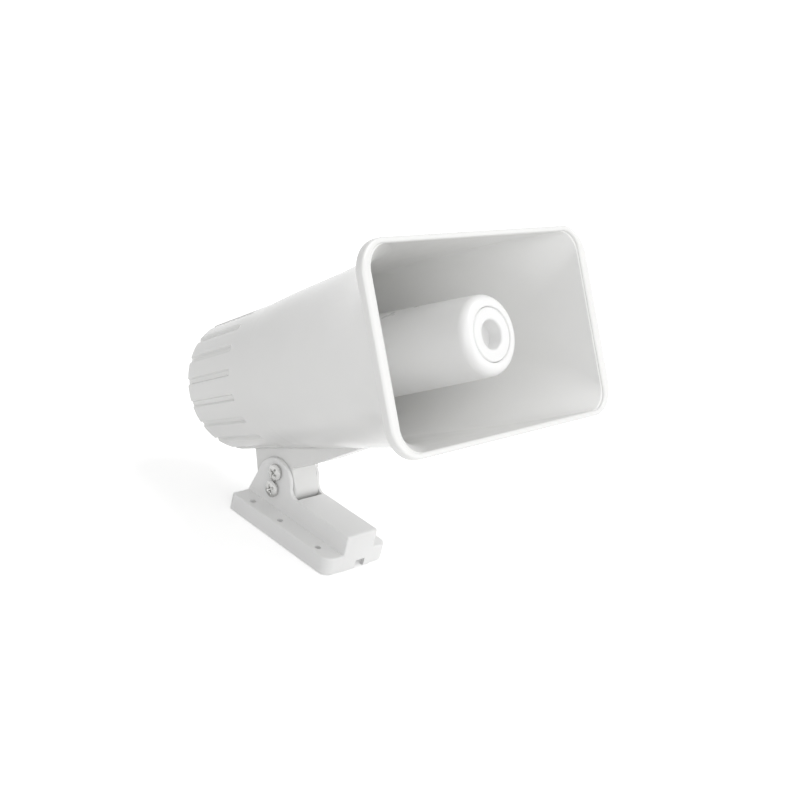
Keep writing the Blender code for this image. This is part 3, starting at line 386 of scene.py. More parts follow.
def filleted(profile, radius, steps=5):
    """An open profile whose inner corners are cut back by a length, one for all or one each, and bridged
    by a quadratic curve."""
    profile = np.asarray(profile, float)
    cuts = np.broadcast_to(radius, len(profile) - 2)
    out = [profile[:1]]
    t = np.linspace(0.0, 1.0, steps + 1)[:, None]
    for before, corner, after, most in zip(profile, profile[1:], profile[2:], cuts):
        near = np.linalg.norm(before - corner)
        far = np.linalg.norm(after - corner)
        cut = min(most, 0.98 * near, 0.49 * far)
        start = corner + (before - corner) / near * cut
        end = corner + (after - corner) / far * cut
        out.append((1 - t) ** 2 * start + 2 * t * (1 - t) * corner + t ** 2 * end)
    out.append(profile[-1:])
    return np.concatenate(out)


# ================================================================ the horn's section
def housing_radius(depth):
    """Radius of the round housing at a depth: a straight taper."""
    sizes = settings().horn
    return sizes.housing_radius + sizes.housing_taper * (sizes.housing_end - depth)


def flare_size(depth):
    """Half width, half height and corner of the flare's inside: each falls from its mouth size to the
    housing's radius by a power of what is left of the flare's length."""
    sizes = settings().horn
    left = 1.0 - np.clip(np.asarray(depth, float) / sizes.flare_length, 0.0, 1.0)
    end = housing_radius(sizes.flare_length) - sizes.wall
    wide = 0.5 * sizes.mouth_width - sizes.lip_side - end
    high = 0.5 * sizes.mouth_height - sizes.lip_top - end
    corner = sizes.lip_corner - end
    return (end + wide * left ** sizes.bend_wide, end + high * left ** sizes.bend_high,
            end + corner * left ** sizes.bend_corner)


def outer_size(depth):
    """Half width, half height and corner of the outside at a depth: the flare's size and its wall, or the
    housing's radius, averaged over a short window near the place where they meet, so that no seam shows."""
    sizes = settings().horn
    off = abs(depth - sizes.flare_length) / (2.2 * sizes.seam_blend)
    window = sizes.seam_blend * max(1.0 - off, 0.0)
    places = depth + window * np.linspace(-1.0, 1.0, 9)
    flare = np.stack(flare_size(places)) + sizes.wall
    housing = np.stack([housing_radius(places)] * 3)
    return np.where(places > sizes.flare_length, housing, flare).mean(axis=1)


def ring_angles():
    """Angles round the horn, closer together on the walls of each groove."""
    sizes = settings().horn
    half = 0.5 * sizes.groove_width / sizes.housing_radius
    pitch = 2.0 * np.pi / sizes.groove_count
    stops = np.array(GROOVE_STOPS)
    inside = half * np.concatenate([-stops[::-1], [0.0], stops])
    land = half + (pitch - 2.0 * half) * np.linspace(0.0, 1.0, 10)[1:-1]
    steps = np.concatenate([inside, land])
    centres = np.arange(sizes.groove_count) * pitch - 0.5 * np.pi
    return (centres[:, None] + steps).ravel()


def groove_sink(angles):
    """How far down each angle lies in its groove: 0 on the land, 1 on the floor, a smooth step between."""
    sizes = settings().horn
    pitch = 2.0 * np.pi / sizes.groove_count
    half = 0.5 * sizes.groove_width / sizes.housing_radius
    off = np.abs((angles + 0.5 * np.pi + 0.5 * pitch) % pitch - 0.5 * pitch)
    t = np.clip((half - off) / (sizes.groove_softness * half), 0.0, 1.0)
    return t * t * (3.0 - 2.0 * t)


def rounded_ring(depth, size, angles, sink=0.0):
    """A rounded rectangle at a depth: x = sign(cos a)(w - c) + (c - sink) cos a, and y alike with sin a."""
    wide, high, corner = size
    cos = np.round(np.cos(angles), 9)
    sin = np.round(np.sin(angles), 9)
    x = np.sign(cos) * (wide - corner) + (corner - sink) * cos
    y = np.sign(sin) * (high - corner) + (corner - sink) * sin
    return np.stack([x, y, np.full_like(x, -depth)], -1)


def crowded(start, end, steps):
    """Depths that lie closer together at both ends: a cosine spacing."""
    return start + (end - start) * (0.5 - 0.5 * np.cos(np.linspace(0.0, np.pi, steps + 1)))


def lip_rings(angles):
    """Rings over the lip, from the opening's edge to the rim's back: a crowned bead whose share across
    the lip runs from 0 to 1."""
    sizes = settings().horn
    inner = np.array([0.5 * sizes.mouth_width - sizes.lip_side, 0.5 * sizes.mouth_height - sizes.lip_top,
                      sizes.lip_corner])
    relief = sizes.rim_relief
    outer = np.array([0.5 * sizes.mouth_width - relief, 0.5 * sizes.mouth_height - relief, sizes.rim_corner])
    turns = np.radians(np.linspace(180.0, 0.0, 17))
    shares = 0.5 + 0.5 * np.sign(np.cos(turns)) * np.abs(np.cos(turns)) ** LIP_SQUARENESS
    falls = sizes.rim_set_back + LIP_CROWN * (1.0 - np.clip(np.sin(turns), 0.0, 1.0) ** LIP_SQUARENESS)
    rings = [rounded_ring(fall, inner + (outer - inner) * share, angles) for share, fall in zip(shares, falls)]
    back = sizes.rim_depth - RIM_BACK_DEPTH
    rings.append(rounded_ring(back, outer, angles))
    for turn in np.radians(RIM_BACK_TURNS):
        inset = RIM_BACK_INSET * (1.0 - math.cos(turn))
        rings.append(rounded_ring(back + RIM_BACK_DEPTH * math.sin(turn), outer - inset, angles))
    return rings


def shell_rings(angles):
    """All rings of the one-piece shell, from the bowl forward inside, over the lip and back outside."""
    sizes = settings().horn
    inside = settings().inside
    rings = []
    bowl = inside.bowl_radius
    start = sizes.flare_length - bowl
    end = housing_radius(sizes.flare_length) - sizes.wall
    for radius in np.linspace(inside.bore, end - bowl, 5):
        rings.append(rounded_ring(sizes.flare_length, (radius, radius, radius), angles))
    for turn in np.radians(np.linspace(80.0, 10.0, 8)):
        depth = start + bowl * math.sin(turn)
        size = np.array(flare_size(depth)) - bowl * (1.0 - math.cos(turn))
        rings.append(rounded_ring(depth, size, angles))
    for depth in crowded(start, LIP_CROWN, 48)[:-1]:
        rings.append(rounded_ring(depth, np.array(flare_size(depth)), angles))
    rings += lip_rings(angles)
    for depth in crowded(sizes.rim_depth + 0.0003, sizes.flare_length, 56):
        rings.append(rounded_ring(depth, outer_size(depth), angles))
    return rings + housing_rings(angles)


def housing_rings(angles):
    """Rings of the grooved housing, its rear edge, the cover's recess and the driver's chamber."""
    sizes = settings().horn
    inside = settings().inside
    sink = groove_sink(angles) * sizes.groove_depth
    rings = []
    for depth in np.linspace(sizes.flare_length, sizes.groove_start, 12)[1:]:
        rings.append(rounded_ring(depth, outer_size(depth), angles))
    for share in np.linspace(0.0, 1.0, 7)[1:]:
        depth = sizes.groove_start + sizes.groove_run * share
        rise = share * share * (3.0 - 2.0 * share)
        rings.append(rounded_ring(depth, (housing_radius(depth),) * 3, angles, sink * rise))
    edge = sizes.housing_edge
    stop = sizes.housing_end - edge
    for depth in np.linspace(sizes.groove_start + sizes.groove_run, stop, 14)[1:]:
        rings.append(rounded_ring(depth, (housing_radius(depth),) * 3, angles, sink))
    for turn in np.radians(np.linspace(0.0, 90.0, 9)[1:]):
        depth = stop + edge * math.sin(turn)
        radius = housing_radius(depth) - edge * (1.0 - math.cos(turn))
        rings.append(rounded_ring(depth, (radius,) * 3, angles, sink * math.cos(turn)))
    recess = inside.cover_radius + inside.seat
    ledge = sizes.housing_end - inside.ledge_depth
    rear = sizes.flare_length + inside.bulkhead
    front_radius = housing_radius(rear) - inside.chamber_wall
    closing = [(recess + 0.0003, sizes.housing_end), (recess, sizes.housing_end - 0.0003), (recess, ledge),
               (recess - inside.ledge, ledge), (front_radius, rear), (inside.bore, rear)]
    rings += [rounded_ring(depth, (radius,) * 3, angles) for radius, depth in closing]
    return rings


# ================================================================ the foot
def foot_outline():
    """Side view of the foot and keel as (y, z) points about the pivot."""
    sizes = settings().horn
    foot = settings().foot
    top = sizes.pivot_drop

    def bottom(forward):
        """Height of the shell's underside at a distance ahead of the pivot."""
        depth = sizes.pivot_depth - forward
        flare = top - flare_size(depth)[1] - sizes.wall
        housing = top - housing_radius(depth)
        return np.where(depth > sizes.flare_length, housing, flare)

    reach = np.linspace(-foot.rounding, foot.keel_reach, 40)
    ceiling = np.stack([bottom(reach) + foot.bury, reach], 1)[::-1]
    start = math.degrees(math.asin(foot.front / foot.rounding))
    toe = math.degrees(foot.toe / foot.rounding)
    corner = [-foot.rounding * math.cos(math.radians(start)), foot.front]
    round_end = bend(0.0, 0.0, foot.rounding, foot.rounding, 28, -90.0, -180.0 - start + toe)
    tip = float(bottom(np.array(foot.keel_reach)))
    keel = np.array([corner, [foot.keel_start, foot.front], [foot.keel_mid_drop, foot.keel_mid],
                     [tip - foot.keel_step, foot.keel_reach]])
    cuts = (foot.toe, 0.0016, 0.0016, 0.0016)
    keel = filleted(np.concatenate([round_end[-1:], keel, ceiling[:1]]), cuts, 8)
    return np.concatenate([ceiling[:-1], round_end[:-1], keel[:-1]])


def slot_tool(half, low, high):
    """The curved slot about the pivot that the lock screw rides in: two arcs joined by round ends, pushed
    along x."""
    foot = settings().foot
    first = -90.0 - foot.turn_down - SLOT_SPARE
    last = -90.0 + foot.turn_up + SLOT_SPARE
    outer = bend(0.0, 0.0, foot.spacing + half, foot.spacing + half, 40, first, last)
    inner = bend(0.0, 0.0, foot.spacing - half, foot.spacing - half, 40, last, first)
    ends = [(foot.spacing * math.cos(math.radians(a)), foot.spacing * math.sin(math.radians(a)))
            for a in (last, first)]
    caps = [bend(*ends[0], half, half, 14, last, last + 180.0)[1:-1],
            bend(*ends[1], half, half, 14, first + 180.0, first + 360.0)[1:-1]]
    outline = np.concatenate([outer, caps[0], inner, caps[1]]) + PIVOT[1:]
    count = len(outline)
    points = np.concatenate([np.insert(outline, 0, place, axis=1) for place in (low, high)])
    faces = grid_faces(2, count, False).tolist()
    faces += [list(range(count)), list(range(count, 2 * count))]
    return new_object("slot", points, faces)


def resampled(outline, count):
    """A closed outline read again at even steps of its length."""
    closed = np.concatenate([outline, outline[:1]])
    run = np.concatenate([[0.0], np.cumsum(np.linalg.norm(np.diff(closed, axis=0), axis=1))])
    steps = np.arange(count) * run[-1] / count
    return np.stack([np.interp(steps, run, closed[:, k]) for k in range(2)], 1)


def inset_outline(outline, by):
    """The outline moved inwards by a length along its normals."""
    along = np.roll(outline, -1, 0) - np.roll(outline, 1, 0)
    normal = np.stack([along[:, 1], -along[:, 0]], 1)
    normal /= np.linalg.norm(normal, axis=1)[:, None]
    area = np.sum(outline[:, 0] * np.roll(outline[:, 1], -1) - np.roll(outline[:, 0], -1) * outline[:, 1])
    return outline - np.sign(area) * normal * by


def slab(outline, low, high, edge, steps=4):
    """A flat outline pushed along x from low to high with quarter-round edges: (rows, columns, 3)."""
    turns = np.radians(np.linspace(0.0, 90.0, steps + 1))
    insets = np.concatenate([edge * (1.0 - np.sin(turns)), edge * (1.0 - np.sin(turns[::-1]))])
    places = np.concatenate([low + edge * (1.0 - np.cos(turns)), high - edge * (1.0 - np.cos(turns[::-1]))])
    rings = []
    for inset, place in zip(insets, places):
        flat = inset_outline(outline, inset)
        rings.append(np.concatenate([np.full((len(flat), 1), place), flat], 1))
    return np.stack(rings)


def drums(centres, radius, low, high, along=2, columns=40):
    """Round pins with flat ends, all in one mesh: each is a circle pushed from low to high along one axis."""
    turns = np.arange(columns) * 2.0 * np.pi / columns
    points = []
    faces = []
    for number, (u, v) in enumerate(centres):
        ring = np.stack([u + radius * np.cos(turns), v + radius * np.sin(turns)], 1)
        for place in (low, high):
            points.append(np.insert(ring, along, place, axis=1))
        first = 2 * number * columns
        faces += (grid_faces(2, columns, False) + first).tolist()
        faces.append(list(range(first, first + columns)))
        faces.append(list(range(first + columns, first + 2 * columns)))
    return new_object("drums", np.concatenate(points), faces)


def block_tool(low, high):
    """A box for cutting, between two corners."""
    xs, ys, zs = zip(low, high)
    points = np.array([(x, y, z) for z in zs for y in ys for x in xs])
    faces = [(0, 1, 3, 2), (4, 5, 7, 6), (0, 1, 5, 4), (2, 3, 7, 6), (0, 2, 6, 4), (1, 3, 7, 5)]
    return new_object("block", points, faces)


# ================================================================ the bracket
def bracket_side():
    """Side view of the block and its ears as (y, z), y = 0 at the pivot: along the block's top, round a
    fillet, over the ear's round top and down a straight run tangent to it."""
    sizes = settings().bracket
    centre = (sizes.ear_back, PIVOT[2] - sizes.ear_drop)
    rise = sizes.block_height + sizes.ear_fillet
    span = sizes.ear_radius + sizes.ear_fillet
    along = centre[0] - math.sqrt(span ** 2 - (rise - centre[1]) ** 2)
    lean = math.degrees(math.atan2(centre[1] - rise, centre[0] - along))
    away = (sizes.rear - centre[0], sizes.flange_height - centre[1])
    turn = math.degrees(math.atan2(away[1], away[0]))
    tangent = turn + math.degrees(math.acos(sizes.ear_radius / math.hypot(*away)))
    low = BLOCK_LIFT
    front = -sizes.front - BLOCK_PROUD
    nose = np.array([[front, low], [front, sizes.block_height], [along, sizes.block_height]])
    parts = [filleted(nose, 1.2 * sizes.edge)[:-1],
             bend(along, rise, sizes.ear_fillet, sizes.ear_fillet, 16, -90.0, lean),
             bend(*centre, sizes.ear_radius, sizes.ear_radius, 64, 180.0 + lean, tangent)[1:],
             np.array([[sizes.rear, sizes.flange_height], [sizes.rear, low]])]
    return np.concatenate(parts)


def flange_plan(inset=0.0):
    """Plan of the flange as (x, y) points, with its two sizes of corner."""
    sizes = settings().bracket
    side = 0.5 * sizes.flange_width - inset
    front = -sizes.front + inset
    rear = sizes.rear - inset
    big = max(sizes.corner_front - inset, sizes.edge)
    small = max(sizes.corner_rear - inset, 0.0004)
    return np.concatenate([bend(side - small, rear - small, small, small, 8),
                           bend(small - side, rear - small, small, small, 8, 90.0, 180.0),
                           bend(big - side, front + big, big, big, 16, 180.0, 270.0),
                           bend(side - big, front + big, big, big, 16, 270.0, 360.0)])


def placed(points, upright):
    """Points of the bracket's frame carried to the row frame; an upright slab is pushed along z."""
    if upright:
        points = np.roll(points, -1, -1)
    return points + np.array([0.0, PIVOT[1], 0.0])


# ================================================================ the screws
def nut_surface(bore, flats, thickness):
    """A hexagon nut along x: the radius at an angle is apothem / cos of the angle off the flat's middle,
    and both faces fall away by tan 30 past the circle that touches the flats."""
    columns = 144
    turns = np.arange(columns) * 2.0 * np.pi / columns
    off = (turns + np.pi / 6.0) % (np.pi / 3.0) - np.pi / 6.0
    apothem = 0.5 * flats
    outer = apothem / np.cos(off)
    shares = np.array([0.0, 0.10, 0.5, 0.80, 0.9, 1.0])[:, None]
    radius = bore + (outer - bore) * shares
    fall = np.clip(radius - 0.96 * apothem, 0.0, None) * HEX_FALL
    fall += np.clip(bore + 0.0003 - radius, 0.0, None)
    rows = [np.stack([fall, radius * np.cos(turns), radius * np.sin(turns)], -1),
            np.stack([thickness - fall, radius * np.cos(turns), radius * np.sin(turns)], -1)[::-1]]
    return np.concatenate(rows)


def screw_surface(length_behind, shank, radius, height):
    """A pan-head screw along -x from its seat at x = 0: the crown is a height field over the head, less
    a plus-shaped recess, and the grid goes on over the rim and down the shank."""
    columns = 96
    turns = np.arange(columns) * 2.0 * np.pi / columns
    shares = np.linspace(0.0, 1.0, 40)
    crown = height * np.sqrt(1.0 - CROWN_FALL * shares ** CROWN_POWER)
    u = radius * shares[:, None] * np.cos(turns)
    v = radius * shares[:, None] * np.sin(turns)
    off = np.hypot(u, v)
    arm = CROSS_ARM * radius
    thin = CROSS_HALF_WIDTH * radius
    soft = CROSS_SOFTNESS * radius
    along = [np.clip((arm - np.abs(a)) / soft, 0, 1) * np.clip((thin - np.abs(b)) / soft, 0, 1)
             for a, b in ((u, v), (v, u))]
    hub = np.clip((CROSS_HUB * radius - off) / soft, 0, 1)
    slope = np.clip(CROSS_RISE - off / arm, 0.0, 1.0)
    deep = np.maximum(np.maximum(*along), hub) * slope * CROSS_DEPTH * height
    head = np.stack([-(crown[:, None] - deep), u, v], -1)
    rest = [(radius, 0.30 * height), (0.985 * radius, 0.12 * height), (0.96 * radius, 0.0), (shank, 0.0),
            (shank, -length_behind + 0.0004), (shank - 0.0004, -length_behind), (0.0, -length_behind)]
    body = [np.stack([np.full(columns, -z), r * np.cos(turns), r * np.sin(turns)], -1) for r, z in rest]
    return np.concatenate([head, np.stack(body)])


# ================================================================ finishes
def new_material(name):
    """A node material with its Principled shader, its Object coordinates and a maker of nodes."""
    made = bpy.data.materials.new(name)
    made.use_nodes = True
    tree = made.node_tree
    shader = tree.nodes["Principled BSDF"]
    place = tree.nodes.new("ShaderNodeTexCoord").outputs["Object"]
    return made, tree, shader, place


def noise(tree, place, scale, detail):
    """A noise pattern on the object's own coordinates; scale is in features a metre."""
    node = tree.nodes.new("ShaderNodeTexNoise")
    node.inputs["Scale"].default_value = scale
    node.inputs["Detail"].default_value = detail
    tree.links.new(place, node.inputs["Vector"])
    return node.outputs["Fac"]


def spread(tree, value, low, high, start=0.3, stop=0.7):
    """A value stretched from one range to another."""
    node = tree.nodes.new("ShaderNodeMapRange")
    node.inputs["From Min"].default_value = start
    node.inputs["From Max"].default_value = stop
    node.inputs["To Min"].default_value = low
    node.inputs["To Max"].default_value = high
    tree.links.new(value, node.inputs["Value"])
    return node.outputs["Result"]


def blended(tree, share, first, second):
    """A colour between two by a share."""
    node = tree.nodes.new("ShaderNodeMix")
    node.data_type = "RGBA"
    tree.links.new(share, node.inputs["Factor"])
    node.inputs["A"].default_value = (*first, 1.0)
    node.inputs["B"].default_value = (*second, 1.0)
    return node.outputs["Result"]


def bumped(tree, shader, layers):
    """Chain bump layers of (height, strength, distance) into the shader."""
    normal = None
    for height, strength, distance in layers:
        node = tree.nodes.new("ShaderNodeBump")
        node.inputs["Strength"].default_value = strength
        node.inputs["Distance"].default_value = distance
        tree.links.new(height, node.inputs["Height"])
        if normal is not None:
            tree.links.new(normal, node.inputs["Normal"])
        normal = node.outputs["Normal"]
    tree.links.new(normal, shader.inputs["Normal"])


def moulded(name, base, gloss):
    """Injection-moulded plastic: slow flow marks in the colour, a fine mould grain and soft scuffs."""
    made, tree, shader, place = new_material(name)
    flow = noise(tree, place, 14.0, 3.0)
    base = np.array(base)
    tree.links.new(blended(tree, spread(tree, flow, 0.0, 1.0), base * 0.97, base), shader.inputs["Base Color"])
    scuff = noise(tree, place, 70.0, 2.0)
    tree.links.new(spread(tree, scuff, gloss - 0.01, gloss + 0.02, 0.2, 0.8), shader.inputs["Roughness"])
    fine = noise(tree, place, 2600.0, 2.0)
    wave = noise(tree, place, 30.0, 2.0)
    bumped(tree, shader, [(wave, 0.05, 0.0002), (fine, 0.10, 0.00004)])
    shader.inputs["IOR"].default_value = 1.54
    shader.inputs["Subsurface Weight"].default_value = 0.06
    shader.inputs["Subsurface Radius"].default_value = (0.004, 0.004, 0.0035)
    shader.inputs["Subsurface Scale"].default_value = 1.0
    return made


def plated(name, base, gloss):
    """Bright zinc plating: turning marks, small pits and a patchy dullness."""
    made, tree, shader, place = new_material(name)
    patch = noise(tree, place, 260.0, 4.0)
    base = np.array(base)
    tree.links.new(blended(tree, spread(tree, patch, 0.0, 1.0), base * 0.86, base), shader.inputs["Base Color"])
    tree.links.new(spread(tree, patch, gloss - 0.06, gloss + 0.10), shader.inputs["Roughness"])
    pits = noise(tree, place, 1800.0, 3.0)
    bumped(tree, shader, [(pits, 0.18, 0.00005)])
    shader.inputs["Metallic"].default_value = 1.0
    return made


def rubbery(name, base, gloss):
    """Rubber, board or ferrite: dull, faintly blotched, with a coarse grain."""
    made, tree, shader, place = new_material(name)
    patch = noise(tree, place, 120.0, 5.0)
    base = np.array(base)
    tree.links.new(blended(tree, spread(tree, patch, 0.0, 1.0), base * 0.75, base * 1.15),
                   shader.inputs["Base Color"])
    tree.links.new(spread(tree, patch, gloss - 0.06, gloss + 0.06), shader.inputs["Roughness"])
    grain = noise(tree, place, 1400.0, 3.0)
    bumped(tree, shader, [(grain, 0.25, 0.00008)])
    return made


# ================================================================ operators
class HORN_OT_shell(bpy.types.Operator):
    """Build the one-piece shell: bowl, flare, lip, grooved housing and driver chamber"""
    bl_idname = "horn.shell"
    bl_label = "Horn shell"

    def execute(self, context):
        rings = np.stack(shell_rings(ring_angles()))
        made = add_surface("horn_shell", to_row(rings), wrap_rows=True)
        colours = settings().finishes
        carry(made, HEAD, "bell_plastic", moulded("shell_plastic", colours.shell, 0.24), "horn_bell")
        return {"FINISHED"}


class HORN_OT_foot(bpy.types.Operator):
    """Build the foot and keel that the horn tilts on"""
    bl_idname = "horn.foot"
    bl_label = "Tilt foot"

    def execute(self, context):
        sizes = settings().horn
        foot = settings().foot
        outline = resampled(foot_outline(), 260)
        half = 0.5 * foot.width
        points = slab(outline, -half, half, foot.edge)
        points[..., 1] -= sizes.pivot_drop
        points[..., 2] -= sizes.pivot_depth
        made = add_surface("tilt_foot", to_row(points), sharp=50.0)
        bore = foot.screw_radius + settings().inside.seat
        across = (-half - OVERCUT, half + OVERCUT)
        cuts = [drums([(PIVOT[1], PIVOT[2])], bore, *across, along=0), slot_tool(bore, *across)]
        made = shaped(made, *[("DIFFERENCE", cut) for cut in cuts])
        carry(made, HEAD, "bell_plastic", bpy.data.materials["shell_plastic"])
        return {"FINISHED"}


class HORN_OT_bullet(bpy.types.Operator):
    """Build the reflector bullet and the disc in its nose"""
    bl_idname = "horn.bullet"
    bl_label = "Bullet and nose"

    def execute(self, context):
        sizes = settings().inside
        front = -sizes.bullet_front
        seat = sizes.cap_radius + sizes.seat
        cup = sizes.cup_radius + sizes.seat
        shoulder = sizes.nose_round
        edge = sizes.bullet_radius - shoulder
        rear = sizes.bullet_radius + sizes.bullet_spread
        inner = sizes.bullet_radius - sizes.bullet_wall
        floor = front - sizes.nose_wall
        run = np.linspace(0.0, 1.0, 25)[1:-1]
        side = sizes.bullet_radius + sizes.bullet_spread * run ** 0.9
        start = front - shoulder
        outer = [np.array([[seat, front - 0.0006], [seat + 0.0005, front]]),
                 bend(edge, front - shoulder, shoulder, shoulder, 14, 90.0, 0.0),
                 np.stack([side, start + (-sizes.bullet_end - start) * run], 1),
                 np.array([[rear, -sizes.bullet_end + 0.0008], [rear - 0.0005, -sizes.bullet_end],
                           [rear - sizes.bullet_wall, -sizes.bullet_end]]),
                 np.stack([side - sizes.bullet_wall, start + (-sizes.bullet_end - start) * run], 1)[::-1],
                 bend(inner - shoulder, floor - shoulder, shoulder, shoulder, 8, 0.0, 90.0),
                 np.array([[cup, floor], [cup, front - sizes.cap_thickness - sizes.seat],
                           [seat, front - sizes.cap_thickness - sizes.seat]])]
        colours = settings().finishes
        plastic = moulded("bullet_plastic", colours.bullet, 0.28)
        made = add_surface("bullet_shell", to_row(lathe(np.concatenate(outer), 160)), wrap_rows=True)
        carry(made, HEAD, "bullet_plastic", plastic, "reflector_bullet")
        depth = sizes.cup_depth
        wall = sizes.cap_thickness
        disc = [(0.0, -0.5 * wall - depth + wall), (0.7 * sizes.hole_radius, -0.5 * wall - depth + wall),
                (sizes.hole_radius, -0.4 * wall - depth + wall + 0.0006), (sizes.hole_radius, -0.0014)]
        disc += bend(sizes.hole_radius + 0.0014, -0.0014, 0.0014, 0.0014, 6, 180.0, 90.0)[1:].tolist()
        disc += [(sizes.cap_radius - 0.0007, 0.0), (sizes.cap_radius, -0.0007), (sizes.cap_radius, -wall),
                 (sizes.cup_radius, -wall), (sizes.cup_radius, -depth), (0.0, -depth)]
        points = lathe(np.array(disc), 128)
        points[..., 2] += front
        made = add_surface("nose_disc", to_row(points))
        carry(made, HEAD, "bullet_plastic", plastic, "nose_cap")
        return {"FINISHED"}


class HORN_OT_tilt_screws(bpy.types.Operator):
    """Build the two pan-head screws across the ears"""
    bl_idname = "horn.tilt_screws"
    bl_label = "Tilt screws"

    def execute(self, context):
        foot = settings().foot
        inside = settings().inside
        steel = plated("screw_plate", settings().finishes.steel, 0.24)
        seat = -0.5 * foot.width - foot.side_play - foot.ear - inside.seat
        screws = (("pivot_screw", 0.0, 0.35), ("lock_screw", foot.spacing, 0.9))
        for number, (node, drop, turn) in enumerate(screws, start=1):
            reach = float(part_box(node)[1][0]) - seat
            points = screw_surface(reach, foot.screw_radius, foot.head_radius, foot.head_height)
            turned = turned_about_x(points, turn) + np.array([seat, PIVOT[1], PIVOT[2] - drop])
            made = add_surface(f"tilt_screw_{number}", turned, sharp=28.0)
            carry(made, BRACKET, "zinc_steel", steel, node)
        return {"FINISHED"}


class HORN_OT_tilt_nuts(bpy.types.Operator):
    """Build the washers and nuts on the far ends of the tilt screws"""
    bl_idname = "horn.tilt_nuts"
    bl_label = "Tilt nuts"

    def execute(self, context):
        foot = settings().foot
        seat = settings().inside.seat
        steel = bpy.data.materials["screw_plate"]
        bore = foot.screw_radius + seat
        rim = 0.0002
        thick = foot.washer
        profile = [(bore, rim), (bore + rim, 0.0), (foot.washer_radius - rim, 0.0), (foot.washer_radius, rim),
                   (foot.washer_radius, thick - rim), (foot.washer_radius - rim, thick), (bore + rim, thick),
                   (bore, thick - rim)]
        start = 0.5 * foot.width + foot.side_play + foot.ear + seat
        for name, drop, turn in (("pivot", 0.0, 0.2), ("lock", foot.spacing, 0.75)):
            centre = np.array([start, PIVOT[1], PIVOT[2] - drop])
            ring = np.roll(lathe(profile, 96), 1, -1) + centre
            made = add_surface(f"{name}_washer_disc", ring, wrap_rows=True)
            carry(made, BRACKET, "zinc_steel", steel, f"{name}_washer")
            centre[0] += thick + seat
            body = turned_about_x(nut_surface(bore, foot.nut_flats, foot.nut), turn) + centre
            made = add_surface(f"{name}_nut_body", body, wrap_rows=True, sharp=25.0)
            carry(made, BRACKET, "zinc_steel", steel, f"{name}_nut")
        return {"FINISHED"}


class HORN_OT_bracket(bpy.types.Operator):
    """Build the moulded bracket: rounded flange and block, ears, cored underside, holes and lead notch"""
    bl_idname = "horn.bracket"
    bl_label = "Tilting bracket"

    def execute(self, context):
        sizes = settings().bracket
        foot = settings().foot
        gap = 0.5 * foot.width + foot.side_play
        block = gap + foot.ear
        under = sizes.flange_height - sizes.wall
        over = OVERCUT
        y = PIVOT[1]
        plan = resampled(flange_plan(), 320)
        flange = add_surface("bracket_body", placed(slab(plan, 0.0, sizes.flange_height, sizes.edge, 6), True))
        side = placed(slab(resampled(bracket_side(), 420), -block, block, 0.7 * sizes.edge, 5), False)
        body = add_surface("block_tool", side)
        hollow = slab(resampled(flange_plan(sizes.wall), 200), -over, under, 0.0003, 2)
        hollow = add_surface("hollow_tool", placed(hollow, True))
        inner = block - sizes.wall
        front = y - sizes.front + sizes.wall
        core = block_tool((-inner, front, under - over),
                          (inner, y - sizes.opening_front - sizes.wall, sizes.block_height - sizes.wall))
        top = PIVOT[2] + sizes.ear_radius
        between = block_tool((-gap, y - sizes.opening_front, sizes.flange_height),
                             (gap, y + sizes.rear + over, top))
        rows = [sizes.hole_rear, sizes.hole_rear - sizes.step_rear]
        rows.append(rows[-1] - sizes.step_front)
        spots = [(turn * sizes.hole_side, y + row) for row in rows for turn in (-1.0, 1.0)]
        bosses = drums(spots, 2.0 * sizes.hole_radius, 0.0003, under + 0.5 * sizes.wall)
        holes = drums(spots, sizes.hole_radius, -over, sizes.flange_height + over)
        half = 0.5 * sizes.notch_width
        notch = block_tool((sizes.notch_offset - half, y - sizes.front - over, -over),
                           (sizes.notch_offset + half, front + over, sizes.notch_height))
        bore = foot.screw_radius + settings().inside.seat
        seats = [(y, PIVOT[2]), (y, PIVOT[2] - foot.spacing)]
        bores = drums(seats, bore, -block - over, block + over, along=0)
        made = shaped(flange, ("UNION", body), ("DIFFERENCE", hollow), ("DIFFERENCE", core),
                      ("DIFFERENCE", between), ("UNION", bosses), ("DIFFERENCE", holes),
                      ("DIFFERENCE", notch), ("DIFFERENCE", bores))
        # Painted light: the bracket's colour is lighter than the shell's, though both are the same plastic, to
        # make up for the lower light on its sides.
        plastic = moulded("bracket_plastic", settings().finishes.bracket, 0.34)
        carry(made, BRACKET, "bracket_plastic", plastic, "mounting_bracket")
        return {"FINISHED"}


